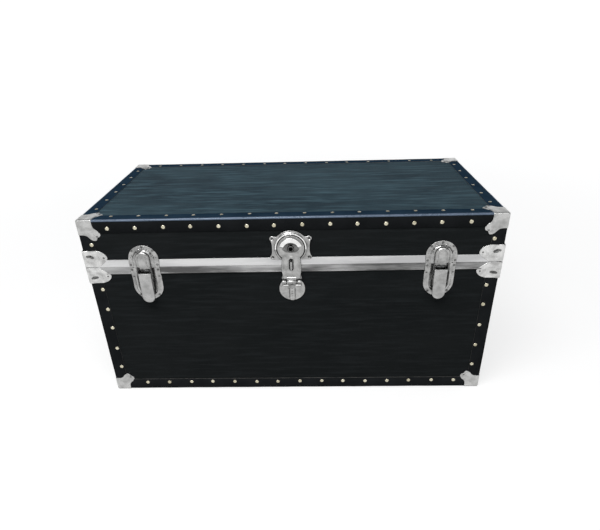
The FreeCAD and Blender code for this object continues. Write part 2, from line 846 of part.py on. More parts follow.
# Lock plate on the lid: a plate with four ears, a round dome with a notch for the padlock staple,
# and a half ring over the hasp's head.
lock_middle = mouth + d.lock_centre
lock_half = d.lock_width / 2
lock_low = mouth + d.lock_low
lock_high = mouth + d.lock_ear_high + d.lock_ear_radius
lock_spot = (ZERO, ahead(d.lock_dome), lock_middle)
lock_parts = [
    block("LockField", (-lock_half, ahead(d.lock_plate), lock_low), (lock_half, front, lock_high)),
    rod("LockDome", "y", d.lock_dome_radius, lock_spot, d.lock_dome),
]
for side in (-1, 1):
    for level, rise in (("Low", d.lock_ear_low), ("High", d.lock_ear_high)):
        name = f"LockEar{level}{'Left' if side < 0 else 'Right'}"
        spot = (d.lock_ear_out * side, ahead(d.lock_plate), mouth + rise)
        lock_parts.append(rod(name, "y", d.lock_ear_radius, spot, d.lock_plate))
ridge_outline = [
    (d.lock_dome_radius, lock_middle),
    (-d.lock_dome_radius, lock_middle, ZERO, lock_middle, 1),
    (-d.lock_ridge_inner, lock_middle),
    (d.lock_ridge_inner, lock_middle, ZERO, lock_middle, -1),
]
ridge_depth = d.lock_ridge - d.lock_dome / 2
lock_ridge = place(padded("LockRidge", "XZ", ridge_outline, ridge_depth), y=ahead(d.lock_dome / 2))
rim_bevelled(lock_ridge, "LockRidgeRim", "y", -ridge_depth, d.plate_bevel / 2)
lock_blank = joined("LockBlank", lock_parts + [lock_ridge])
notch_half = d.tab_width / 2 + d.staple_room
lock_notch = block(
    "LockNotch",
    (-notch_half, ahead(d.lock_dome + d.overrun), lid_lip - d.overrun),
    (notch_half, front, mouth + d.staple_rise + d.staple_room),
)
node("lock_plate", cut("LockPlate", lock_blank, [lid_rails[0], lock_notch]))

# Hasp: a round head over the lock, a slotted strap, and a knuckle on the pin in the base.
neck_half = d.hasp_neck_width / 2
belly_half = d.hasp_belly_width / 2
hasp_end_half = d.hasp_end_width / 2
hasp_end = mouth - d.hasp_end_drop
belly_height = mouth - d.hasp_belly_drop
head_chord = (d.hasp_head_radius * d.hasp_head_radius - neck_half * neck_half).root()
neck_height = lock_middle - head_chord
hasp_outline = [
    (-hasp_end_half, hasp_end),
    (hasp_end_half, hasp_end),
    (belly_half, belly_height),
    (neck_half, neck_height),
    (-neck_half, neck_height, ZERO, lock_middle, 1),
    (-belly_half, belly_height),
]
slot_half = d.slot_width / 2
slot_high = mouth + d.slot_rise - slot_half
slot_low = mouth - d.slot_drop + slot_half
slot_outline = [
    (slot_half, slot_low, ZERO, slot_low, 1),
    (slot_half, slot_high),
    (-slot_half, slot_high, ZERO, slot_high, 1),
    (-slot_half, slot_low),
]
hasp_pin_height = mouth - d.hasp_pin_drop
hasp_pin_y = ahead(d.hasp_pin_out)
knuckle_half = d.hasp_knuckle_width / 2
hasp_face = d.hasp_back + d.hasp_sheet
hasp_strap = place(padded("HaspStrap", "XZ", hasp_outline, d.hasp_sheet), y=ahead(d.hasp_back))
pocketed(hasp_strap, "HaspSlot", "XZ", slot_outline, d.hasp_sheet)
hasp_dome = doc.addObject("Part::Cone", "HaspDome")
bind(hasp_dome, "Radius1", d.hasp_dome_radius)
bind(hasp_dome, "Radius2", d.hasp_dome_top)
bind(hasp_dome, "Height", d.hasp_dome - hasp_face)
hasp_dome.Placement.Rotation = FreeCAD.Rotation(AXES["z"], -AXES["y"])
place(hasp_dome, y=ahead(hasp_face), z=lock_middle)
hasp_link = block(
    "HaspLink",
    (-knuckle_half, ahead(hasp_face), hasp_pin_height),
    (knuckle_half, ahead(d.hasp_back), hasp_end),
)
hasp_knuckle = rod(
    "HaspKnuckle", "x", d.hasp_knuckle, (-knuckle_half, hasp_pin_y, hasp_pin_height), d.hasp_knuckle_width
)
hasp_blank = joined("HaspBlank", [hasp_strap, hasp_dome, hasp_link, hasp_knuckle])
hasp_pin_half = knuckle_half + d.knuckle_room
hasp_pin_start = (-hasp_pin_half, hasp_pin_y, hasp_pin_height)
hasp_bore = rod("HaspBore", "x", d.hasp_pin_radius + d.pin_room, hasp_pin_start, hasp_pin_half * 2)
plug_start = (ZERO, ahead(d.hasp_dome), lock_middle)
plug_bore = rod("PlugBore", "y", d.plug_radius + d.plug_room, plug_start, d.hasp_dome)
node("hasp", cut("Hasp", hasp_blank, [hasp_bore, plug_bore]))
node("hasp_pin", rod("HaspPin", "x", d.hasp_pin_radius, hasp_pin_start, hasp_pin_half * 2))

# Key plug, with a keyway sunk into its front.
plug = rod("Plug", "y", d.plug_radius, (ZERO, ahead(d.plug_front), lock_middle), d.plug_front - d.plug_back)
keyway = block(
    "Keyway",
    (-d.keyway_width / 2, ahead(d.plug_front + d.overrun), lock_middle - d.keyway_height / 2),
    (d.keyway_width / 2, ahead(d.plug_front - d.keyway_depth), lock_middle + d.keyway_height / 2),
)
node("key_plug", cut("KeyPlug", plug, [keyway]))

# Hasp base on the body: a disc with a raised strip, two knuckles with the pin staked between them,
# and a tab up to the staple.
disc_middle = mouth - d.disc_drop
strip_half = d.disc_strip_width / 2
strip_low = disc_middle - d.disc_strip_height / 2
tab_half = d.tab_width / 2
tab_front = d.tab_back + d.tab_sheet
tab_low = disc_middle + d.disc_radius - d.tab_root
disc_seat = ahead(d.disc / 2)
tab_start = (-tab_half, ahead(tab_front), tab_low)
hasp_base_parts = [
    rod("Disc", "y", d.disc_radius, (ZERO, ahead(d.disc), disc_middle), d.disc),
    block("DiscStrip", (-strip_half, ahead(d.disc_strip), strip_low), (strip_half, disc_seat, disc_middle)),
    rod("DiscBoss", "y", d.disc_boss_radius, (ZERO, ahead(d.disc_strip), disc_middle), d.disc_strip / 2),
    block("TabRoot", tab_start, (tab_half, disc_seat, tab_low + d.tab_root)),
    block("Tab", tab_start, (tab_half, ahead(d.tab_back), mouth + d.staple_rise)),
]
barrel_half = d.hasp_barrel_width / 2
side_width = barrel_half - hasp_pin_half
for name, start in (("Left", -barrel_half), ("Right", hasp_pin_half)):
    spot = (start, hasp_pin_y, hasp_pin_height)
    hasp_base_parts.append(rod(f"BaseKnuckle{name}", "x", d.hasp_knuckle, spot, side_width))
    foot_low = (start, hasp_pin_y, hasp_pin_height - d.hasp_knuckle)
    foot_high = (start + side_width, disc_seat, hasp_pin_height)
    hasp_base_parts.append(block(f"BaseFoot{name}", foot_low, foot_high))
node("hasp_base", joined("HaspBase", hasp_base_parts))

# Padlock staple: an eye plate standing on the tab, out through the hasp's slot.
staple_half = d.staple_width / 2
staple_plate = block(
    "StaplePlate",
    (-staple_half, ahead(d.staple_front), mouth - d.staple_drop),
    (staple_half, ahead(tab_front), mouth + d.staple_rise),
)
eye_height = mouth + (d.staple_rise - d.staple_drop) / 2
eye_start = (-staple_half, ahead(d.staple_eye_out), eye_height)
staple_eye = rod("StapleEye", "x", d.staple_eye_radius, eye_start, d.staple_width)
node("padlock_staple", cut("Staple", staple_plate, [staple_eye]))

# Back hinges: a leaf on each rail, each cleared round the other's knuckles. The pin is staked between
# the body leaf's two knuckles and turns in the lid leaf's one.
hinge_y = back + d.rail_ridge + d.hinge_gap + d.hinge_knuckle
hinge_half = d.hinge_width / 2
knuckle_end = d.hinge_width / (HINGE_KNUCKLE_COUNT * 2)
leaf_out = d.rail_ridge + d.hinge_sheet
sweep_radius = d.hinge_knuckle + d.hinge_room
outer_runs = [(-hinge_half, -knuckle_end), (knuckle_end, hinge_half)]
middle_runs = [(-knuckle_end + d.hinge_room, knuckle_end - d.hinge_room)]
hinge_pin_start = (-knuckle_end, hinge_y, mouth)


def hinge_leaf(name, low, high, rail, own_runs, clear_runs):
    """One leaf at the middle of the back, seated on its rail."""
    leaf = block(f"{name}Leaf", (-hinge_half, back, low), (hinge_half, back + leaf_out, high))
    sweeps = []
    for number, (start, end) in enumerate(clear_runs):
        spot = (start - d.hinge_room, hinge_y, mouth)
        sweeps.append(rod(f"{name}Sweep{number}", "x", sweep_radius, spot, end - start + d.hinge_room * 2))
    knuckles = []
    for number, (start, end) in enumerate(own_runs):
        spot = (start, hinge_y, mouth)
        knuckles.append(rod(f"{name}Knuckle{number}", "x", d.hinge_knuckle, spot, end - start))
    return joined(name, [cut(f"{name}Seat", leaf, [rail] + sweeps)] + knuckles)


def at_both_ends(name, source):
    """The piece moved from the middle of the back towards the right end, and its image on the left."""
    moved = place(group(f"{name}Right", [source]), x=right - d.hinge_inset)
    return group(name, [moved, mirrored(f"{name}Left", moved, "x")])


body_leaf = hinge_leaf("BodyHinge", mouth - d.hinge_leaf, body_lip, body_rails[2], outer_runs, middle_runs)
lid_blank = hinge_leaf("LidHinge", lid_lip, mouth + d.hinge_leaf, lid_rails[2], middle_runs, outer_runs)
hinge_bore = rod("HingeBore", "x", d.hinge_pin_radius + d.pin_room, hinge_pin_start, knuckle_end * 2)
lid_leaf = cut("LidLeaf", lid_blank, [hinge_bore])
hinge_pin = rod("HingePin", "x", d.hinge_pin_radius, hinge_pin_start, knuckle_end * 2)
node("hinge_body_leaves", at_both_ends("BodyLeaves", body_leaf))
node("hinge_lid_leaves", at_both_ends("LidLeaves", lid_leaf))
node("hinge_pins", at_both_ends("HingePins", hinge_pin))

# End handles: a plate with two lugs, and a bail bent from square bar that hangs from them with its grip.
plate_half = d.handle_plate_length / 2
plate_rise = d.handle_plate_height / 2
corner_y = plate_half - d.handle_plate_bevel
corner_z = plate_rise - d.handle_plate_bevel
handle_outline = [
    (-corner_y, -plate_rise),
    (corner_y, -plate_rise),
    (plate_half, -corner_z),
    (plate_half, corner_z),
    (corner_y, plate_rise),
    (-corner_y, plate_rise),
    (-plate_half, corner_z),
    (-plate_half, -corner_z),
]
handle_x = right + d.handle_pin_out
handle_height = mouth - d.handle_drop
bail_half = d.bail_width / 2
bar_half = d.bail_bar / 2
lug_start = bail_half + bar_half + d.ear_room
lug_end = lug_start + d.lug_width
handle_seat = place(padded("HandlePlate", "YZ", handle_outline, d.handle_plate), x=right, z=handle_height)
lug_foot = right + d.handle_plate / 2
lug_tip = handle_x + d.lug_radius
lug_half = d.lug_radius / 2
lug_outline = [
    (lug_foot, -d.lug_radius),
    (handle_x, -d.lug_radius),
    (lug_tip, -lug_half),
    (lug_tip, lug_half),
    (handle_x, d.lug_radius),
    (lug_foot, d.lug_radius),
]
lug_back = place(padded("LugBack", "XZ", lug_outline, d.lug_width), y=lug_end, z=handle_height)
drilled(lug_back, "LugBore", "XZ", [(handle_x, ZERO)], d.journal_radius + d.journal_room)
handle_plate = joined("HandleWithLugs", [handle_seat, lug_back, mirrored("LugFront", lug_back, "y")])
node("handle_plates", group("HandlePlates", [handle_plate, mirrored("LeftHandlePlate", handle_plate, "x")]))

outer_y = bail_half + bar_half
inner_y = bail_half - bar_half
knee_y = bail_half - d.bail_bend
knee_z = d.bail_bend - d.bail_drop
outer_z = -d.bail_drop - bar_half
inner_z = bar_half - d.bail_drop
bail_outline = [
    (-outer_y, bar_half),
    (-outer_y, knee_z),
    (-knee_y, outer_z, -knee_y, knee_z, 1),
    (knee_y, outer_z),
    (outer_y, knee_z, knee_y, knee_z, 1),
    (outer_y, bar_half),
    (inner_y, bar_half),
    (inner_y, knee_z),
    (knee_y, inner_z, knee_y, knee_z, -1),
    (-knee_y, inner_z),
    (-inner_y, knee_z, -knee_y, knee_z, -1),
    (-inner_y, bar_half),
]
bail_bar = place(padded("BailBar", "YZ", bail_outline, d.bail_bar, True), x=handle_x, z=handle_height)
journal_start = (handle_x, bail_half, handle_height)
journal = rod("Journal", "y", d.journal_radius, journal_start, lug_end - bail_half)
right_bail = joined("Bail", [bail_bar, journal, mirrored("JournalFront", journal, "y")])
node("right_handle_bail", right_bail)
node("left_handle_bail", mirrored("LeftBail", right_bail, "x"))

grip_wide = d.grip_width / 2
grip_flat = grip_wide - d.grip_bevel
grip_half = d.grip_length / 2
grip_height = handle_height - d.bail_drop
grip_outline = [
    (-grip_flat, -grip_wide),
    (grip_flat, -grip_wide),
    (grip_wide, -grip_flat),
    (grip_wide, grip_flat),
    (grip_flat, grip_wide),
    (-grip_flat, grip_wide),
    (-grip_wide, grip_flat),
    (-grip_wide, -grip_flat),
]
grip_blank = place(padded("GripBlank", "XZ", grip_outline, d.grip_length, True), x=handle_x, z=grip_height)
grip_room = block(
    "GripRoom",
    (handle_x - bar_half, -grip_half - d.overrun, grip_height - bar_half),
    (handle_x + bar_half, grip_half + d.overrun, grip_height + bar_half),
)
right_grip = cut("Grip", grip_blank, [grip_room])
node("right_handle_grip", right_grip)
node("left_handle_grip", mirrored("LeftGrip", right_grip, "x"))

# Folding lid stay by the right end. Its four pivots keep the same distance from each other as the
# hinge line does from the two end pivots, so both arms turn as far as the lid does.
stay_wall = right - d.panel - d.lining
low_pivot_y = hinge_y - d.stay_arm * d.stay_drop_angle.cos()
low_pivot_z = mouth - d.stay_arm * d.stay_drop_angle.sin()
high_pivot_y = hinge_y - d.stay_arm * d.stay_rise_angle.cos()
high_pivot_z = mouth + d.stay_arm * d.stay_rise_angle.sin()
low_layer = stay_wall - d.stay_sheet - d.stay_gap - d.stay_sheet
high_layer = low_layer - d.stay_gap - d.stay_sheet
stay_half = d.stay_width / 2
arm_outline = [
    (ZERO, -stay_half, ZERO, ZERO, 1),
    (d.stay_arm, -stay_half),
    (d.stay_arm, stay_half, d.stay_arm, ZERO, 1),
    (ZERO, stay_half),
]


def stay_arm(name, pivot_y, pivot_z, layer, angle):
    """An arm that lies from its pivot towards the front, tilted by an angle below level."""
    body = padded(name, "YZ", laid(arm_outline, ZERO, -1, ZERO, 1), d.stay_sheet)
    spots = [(ZERO, ZERO), (-d.stay_arm, ZERO)]
    drilled(body, f"{name}Holes", "YZ", spots, d.stay_stud_radius + d.stay_stud_room)
    body.Placement.Rotation = FreeCAD.Rotation(AXES["x"], angle.value)
    return place(body, layer, pivot_y, pivot_z)


def stay_bracket(name, pivot_y, pivot_z, arm_layer):
    """A plate on the lining with a stud for the arm."""
    half_y = d.bracket_length / 2
    half_z = d.bracket_height / 2
    seat_low = (stay_wall - d.stay_sheet, pivot_y - half_y, pivot_z - half_z)
    seat_high = (stay_wall, pivot_y + half_y, pivot_z + half_z)
    end_x = arm_layer - d.stay_gap - d.stay_stud_proud
    stud = rod(f"{name}Stud", "x", d.stay_stud_radius, (end_x, pivot_y, pivot_z), stay_wall - end_x)
    return joined(name, [block(f"{name}Seat", seat_low, seat_high), stud])


node("stay_body_bracket", stay_bracket("BodyBracket", low_pivot_y, low_pivot_z, low_layer))
node("stay_lid_bracket", stay_bracket("LidBracket", high_pivot_y, high_pivot_z, high_layer))
upper_arm = stay_arm("UpperArm", high_pivot_y, high_pivot_z, high_layer, d.stay_drop_angle)
node("stay_upper_arm", upper_arm)
lower_plate = stay_arm("LowerArmPlate", low_pivot_y, low_pivot_z, low_layer, -d.stay_rise_angle)
elbow_y = low_pivot_y - d.stay_arm * d.stay_rise_angle.cos()
elbow_z = low_pivot_z + d.stay_arm * d.stay_rise_angle.sin()
elbow_end_x = high_layer - d.stay_gap - d.stay_stud_proud
elbow_parts = [
    lower_plate,
    rod("Elbow", "x", d.stay_stud_radius + d.stay_stud_room, (low_layer, elbow_y, elbow_z), d.stay_sheet),
    rod("ElbowStud", "x", d.stay_stud_radius, (elbow_end_x, elbow_y, elbow_z), low_layer - elbow_end_x),
]
node("stay_lower_arm", joined("LowerArm", elbow_parts))

# Nothing is written unless every object is sound.
doc.recompute()
faults = []
for piece in doc.Objects:
    if "Invalid" in piece.State or "Error" in piece.State:
        faults.append(f"{piece.Name} {piece.State}")
for piece in nodes:
    if piece.Shape.isNull() or not piece.Shape.isValid() or not piece.Shape.Solids:
        faults.append(f"{piece.Label} has no sound solid")
if faults:
    raise RuntimeError("; ".join(faults))

os.makedirs("parts", exist_ok=True)
for piece in nodes:
    piece.Shape.exportStep(f"parts/{piece.Label}.step")
    print(piece.Label, len(piece.Shape.Solids), round(piece.Shape.Volume))
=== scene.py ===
import json
import math
import bpy
import numpy as np
from mathutils import Matrix, Vector
from mathutils.geometry import delaunay_2d_cdt


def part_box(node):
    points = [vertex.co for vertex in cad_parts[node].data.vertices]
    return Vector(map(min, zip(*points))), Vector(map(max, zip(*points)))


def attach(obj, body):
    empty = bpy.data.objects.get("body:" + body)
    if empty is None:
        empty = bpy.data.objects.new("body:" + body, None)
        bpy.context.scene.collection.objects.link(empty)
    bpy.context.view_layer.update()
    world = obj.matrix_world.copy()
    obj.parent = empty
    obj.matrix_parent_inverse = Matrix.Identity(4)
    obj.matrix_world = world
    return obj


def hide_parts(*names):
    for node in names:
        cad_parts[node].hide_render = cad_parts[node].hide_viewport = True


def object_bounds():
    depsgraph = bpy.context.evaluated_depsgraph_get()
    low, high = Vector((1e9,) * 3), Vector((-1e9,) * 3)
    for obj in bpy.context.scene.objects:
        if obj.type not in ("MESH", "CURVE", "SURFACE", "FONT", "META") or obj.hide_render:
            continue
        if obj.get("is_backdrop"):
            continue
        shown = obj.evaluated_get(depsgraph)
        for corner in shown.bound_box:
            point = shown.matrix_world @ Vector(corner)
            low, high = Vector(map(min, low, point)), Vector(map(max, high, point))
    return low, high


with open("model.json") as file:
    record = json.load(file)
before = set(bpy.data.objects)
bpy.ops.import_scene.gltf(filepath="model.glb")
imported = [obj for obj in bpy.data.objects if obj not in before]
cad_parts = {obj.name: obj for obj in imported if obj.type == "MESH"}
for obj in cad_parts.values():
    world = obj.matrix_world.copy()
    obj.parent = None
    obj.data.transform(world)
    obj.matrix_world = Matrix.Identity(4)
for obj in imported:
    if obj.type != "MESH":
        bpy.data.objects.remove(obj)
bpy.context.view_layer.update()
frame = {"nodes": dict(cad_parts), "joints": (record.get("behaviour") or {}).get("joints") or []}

# Looks for a storage trunk. Lengths are in millimetres, in the frame of the solids, until a mesh is made.
MM = 0.001
nodes = frame["nodes"]
joints = {joint["name"]: joint for joint in frame["joints"]}


def corner(node, end):
    """The low (0) or high (1) corner of a solid's box."""
    return np.array(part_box(node)[end]) / MM


def pivot(joint):
    return np.array(joints[joint]["pos_m"]) / MM


RIGHT = corner("base_panel", 1)[0]
FRONT = corner("base_panel", 0)[1]
BACK = -FRONT
BOTTOM = corner("base_panel", 0)[2]
TOP = corner("lid_top_panel", 1)[2]
MOUTH = pivot("lid_hinge")[2]
DRAWBOLT = pivot("right_lever_pivot")[0]
BINDING = FRONT - corner("lid_edge_bindings", 0)[1]
CAP = corner("lid_corner_caps", 1)[2] - TOP
CLAMP = FRONT - corner("lid_corner_clamps", 0)[1]

# Meshes.
SHARP_ANGLE = 50
TINY = 1e-12
CLOSE = 1e-5
SEAM = 0.01
ROW_SHARE = 0.9
EDGE_ROWS = (0.3, 0.8, 1.5)
FEW_ROWS = (0.3, 0.8)


class Face:
    """A side of the trunk with its own axes: across it, up it and out of it."""

    def __init__(self, origin, across, up, out):
        self.origin = np.array(origin, float)
        self.axes = np.array([across, up, out], float)
        self.mirrored = np.linalg.det(self.axes) < 0

    def at(self, points):
        return self.origin + np.asarray(points, float) @ self.axes


def placed(name, data):
    made = bpy.data.objects.new(name, data)
    bpy.context.scene.collection.objects.link(made)
    return made


def smooth_object(name, points, faces, finish):
    """A mesh with smooth shading, except across sharp angles."""
    mesh = bpy.data.meshes.new(name)
    mesh.from_pydata(points, [], faces)
    mesh.validate()
    mesh.polygons.foreach_set("use_smooth", [True] * len(mesh.polygons))
    mesh.set_sharp_from_angle(angle=math.radians(SHARP_ANGLE))
    mesh.materials.append(finish)
    return placed(name, mesh)


class Piece:
    """Points and faces gathered for one object."""

    def __init__(self):
        self.points = []
        self.faces = []

    def add(self, face, points, polygons):
        start = len(self.points)
        self.points += [tuple(p) for p in face.at(points) * MM]
        for polygon in polygons:
            order = reversed(polygon) if face.mirrored else polygon
            self.faces.append(tuple(start + int(i) for i in order))

    def weld(self):
        """Joins the points that lie on one another, to a micrometre."""
        places, index = np.unique(np.round(np.array(self.points) / MM**2), axis=0, return_inverse=True)
        index = index.ravel()
        self.points = [tuple(p) for p in places * MM**2]
        self.faces = [tuple(int(index[i]) for i in face) for face in self.faces]

    def make(self, name, finish, body, replaced=(), slot="plated_steel"):
        piece = smooth_object(name, self.points, self.faces, finish)
        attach(piece, body)
        if replaced:
            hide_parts(*replaced)
        return piece


def arc(centre, radius, start, end, step=1.5):
    count = max(3, math.ceil(abs(math.radians(end - start)) * radius / step))
    angles = np.radians(np.linspace(start, end, count + 1))
    return [np.array(centre) + radius * np.array([math.cos(a), math.sin(a)]) for a in angles]


def curve(points, parts=6):
    """A smooth line through points."""
    points = [np.array(p, float) for p in points]
    padded = [2 * points[0] - points[1]] + points + [2 * points[-1] - points[-2]]
    line = []
    for a, b, c, d in zip(padded, padded[1:], padded[2:], padded[3:]):
        bend = 2 * a - 5 * b + 4 * c - d
        twist = 3 * b - a - 3 * c + d
        line += [0.5 * (2 * b + (c - a) * t + bend * t**2 + twist * t**3) for t in np.arange(parts) / parts]
    return line + [points[-1]]


def closed(points, step=1.5):
    """A closed outline through the points, with more set between them, about a step apart."""
    points = [np.array(p, float) for p in points]
    full = []
    for start, end in zip(points, points[1:] + points[:1]):
        count = max(1, round(float(np.linalg.norm(end - start)) / step))
        full += [start + (end - start) * i / count for i in range(count)]
    return np.array(full)


def oblong(left, right, low, high, step):
    return closed([(left, low), (right, low), (right, high), (left, high)], step)


def flipped(points):
    """The points on the other side of the middle line, in the order that goes on round."""
    return [(-u, v) for u, v in reversed(points)]


def both(points):
    """The points and their mirror images."""
    return points + flipped(points)


def edge_distance(points, loops):
    """How far each point is from the nearest of the closed loops."""
    best = np.full(len(points), np.inf)
    for loop in loops:
        for start, end in zip(loop, np.roll(loop, -1, axis=0)):
            run = end - start
            share = np.clip(((points - start) @ run) / max(run @ run, TINY), 0, 1)
            best = np.minimum(best, np.linalg.norm(points - start - share[:, None] * run, axis=1))
    return best


def inside(points, loop):
    odd = np.zeros(len(points), bool)
    for (x0, y0), (x1, y1) in zip(loop, np.roll(loop, -1, axis=0)):
        crosses = (y0 > points[:, 1]) != (y1 > points[:, 1])
        rise = y1 - y0 if abs(y1 - y0) > TINY else TINY
        odd ^= crosses & (points[:, 0] < (x1 - x0) * (points[:, 1] - y0) / rise + x0)
    return odd


def outside(points, holes):
    clear = np.ones(len(points), bool)
    for hole in holes:
        clear &= ~inside(points, hole)
    return clear


def seeded(loops, step, rows):
    """Points inside the first loop and outside the others: rows along the edges, then a staggered grid."""
    low, high = loops[0].min(0), loops[0].max(0)
    seeds = []
    for loop in loops:
        along = np.roll(loop, -1, axis=0) - np.roll(loop, 1, axis=0)
        normal = np.stack([-along[:, 1], along[:, 0]], 1) / np.linalg.norm(along, axis=1)[:, None]
        for row in rows:
            for side in (row, -row):
                moved = loop + normal * side
                seeds.append(moved[edge_distance(moved, loops) > ROW_SHARE * row])
    across, up = np.meshgrid(np.arange(low[0], high[0], step), np.arange(low[1], high[1], step))
    grid = np.stack([across.ravel(), up.ravel()], 1)
    grid[:, 0] += (np.round((grid[:, 1] - low[1]) / step) % 2) * step / 2
    seeds.append(grid[edge_distance(grid, loops) > max(rows, default=0) + step / 2])
    seeds = np.concatenate(seeds)
    return seeds[inside(seeds, loops[0]) & outside(seeds, loops[1:])]


def triangulated(loops, seeds):
    """The points of the loops and the seeds, and the triangles between them."""
    edges = []
    count = 0
    for loop in loops:
        edges += [(count + i, count + (i + 1) % len(loop)) for i in range(len(loop))]
        count += len(loop)
    spots = [Vector(p) for p in np.concatenate(loops + [seeds])]
    flat, _, triangles, *_ = delaunay_2d_cdt(spots, edges, [], 1, CLOSE)
    flat = np.array([tuple(p) for p in flat])
    kept = outside(flat[np.array(triangles)].mean(1), loops[1:])
    return flat, [triangle for triangle, keep in zip(triangles, kept) if keep]


def skirt(piece, face, sheet, foot, triangles, seam):
    """Walls from the open edges of a sheet down to its foot, except along a seam."""
    sides = [pair for a, b, c in triangles for pair in ((a, b), (b, c), (c, a))]
    held = set(sides)
    points = []
    walls = []
    for a, b in sides:
        if (b, a) not in held and not (seam[a] or seam[b]):
            start = len(points)
            points += [sheet[a], sheet[b], foot[b], foot[a]]
            walls.append((start, start + 3, start + 2, start + 1))
    piece.add(face, points, walls)


def pressed(piece, face, outline, height, base=0.0, step=1.4, holes=(), rows=EDGE_ROWS, free=None):
    """A stamped sheet over an outline. height(u, v, rim) says how far out it stands, and rim is the
    distance from its edge. Its edge goes down to the base. A sheet that goes on round a box edge gives
    its free outline, drawn out past that edge, and its height also gives its points' own places."""
    loops = [np.array(loop) for loop in (outline, *holes)]
    flat, triangles = triangulated(loops, seeded(loops, step, rows))
    rim = edge_distance(flat, loops if free is None else [free])
    if free is None:
        out = height(flat[:, 0], flat[:, 1], rim) + np.zeros(len(flat))
        seam = np.zeros(len(flat), bool)
    else:
        out, flat = height(flat[:, 0], flat[:, 1], rim)
        seam = rim > SEAM
    low = base(flat[:, 0], flat[:, 1]) if callable(base) else np.full(len(flat), float(base))
    sheet = np.column_stack([flat, out])
    piece.add(face, sheet, triangles)
    skirt(piece, face, sheet, np.column_stack([flat, low]), triangles, seam)


def lathe(profile, sides):
    """Points and faces of a round form, from (radius, height) steps in to its middle."""
    angles = np.arange(sides) * 2 * math.pi / sides
    points = [(r * math.cos(a), r * math.sin(a), height) for r, height in profile for a in angles]
    last = len(points) - sides
    faces = [(last + i, last + (i + 1) % sides, len(points)) for i in range(sides)]
    for ring in range(0, last, sides):
        for i in range(sides):
            j = (i + 1) % sides
            faces.append((ring + i, ring + j, ring + sides + j, ring + sides + i))
    return points + [(0, 0, profile[-1][1])], faces


def turned(piece, face, spot, profile, sides=12):
    """A round form standing on a face."""
    points, faces = lathe(profile, sides)
    piece.add(face, np.add(points, spot), faces)


def tinted(piece, face, outline, finish):
    """Gives the faces of a made piece that lie within an outline another finish."""
    mesh = piece.data
    mesh.materials.append(finish)
    middles = np.array([polygon.center for polygon in mesh.polygons]) / MM - face.origin
    within = inside(middles @ face.axes[:2].T, outline)
    mesh.polygons.foreach_set("material_index", [int(w) for w in within])


# Relief of stamped sheets, in parts that a height adds up.
def ease(x, start, end):
    t = np.clip((x - start) / (end - start), 0, 1)
    return t * t * (3 - 2 * t)


def rolled(distance, radius):
    """The quarter round of a rolled edge, 0 at the edge and 1 past its radius."""
    return np.sqrt(1 - (1 - np.clip(distance / radius, 0, 1)) ** 2)


def lip(rim, low, radius):
    """The share of its height that a sheet has near its rolled rim, from low at the edge to 1."""
    return low + (1 - low) * rolled(rim, radius)


def slope(x, start, end, rise):
    """From 0 at the start to the full rise at the end, which may lie on either side."""
    return rise * ease(x, start, end)


def fall(distance, radius, depth):
    """How far a rounded edge falls below the flat, by the distance from the edge."""
    return depth * (1 - rolled(distance, radius))


def bead(distance, at, width, rise):
    """A rounded line at some distance, falling to 0 at the width to each side."""
    return rise * np.clip(1 - ((distance - at) / width) ** 2, 0, 1) ** 2


def swell(u, v, middle, half, rise, turn=0):
    """An oval swelling, highest at its middle and 0 at its edge."""
    c, s = math.cos(math.radians(turn)), math.sin(math.radians(turn))
    x, y = u - middle[0], v - middle[1]
    return rise * np.clip(1 - ((x * c + y * s) / half[0]) ** 2 - ((y * c - x * s) / half[1]) ** 2, 0, 1)


def boss(u, v, middle, half, rise, flank, turn=0):
    """An oval boss with a flat top. Its flank ends where a swelling of the same size is flank high."""
    return rise * ease(swell(u, v, middle, half, 1, turn), 0, flank)


def plane(height):
    return lambda u, v, rim: height


def raised(foot, rise, radius):
    """A bar with a rolled edge."""
    return lambda u, v, rim: foot + rise * rolled(rim, radius)


# Finishes.
MIX_SHARE, MIX_FIRST, MIX_SECOND, MIX_RESULT = 0, 6, 7, 2
CREASE_SAMPLES = 6


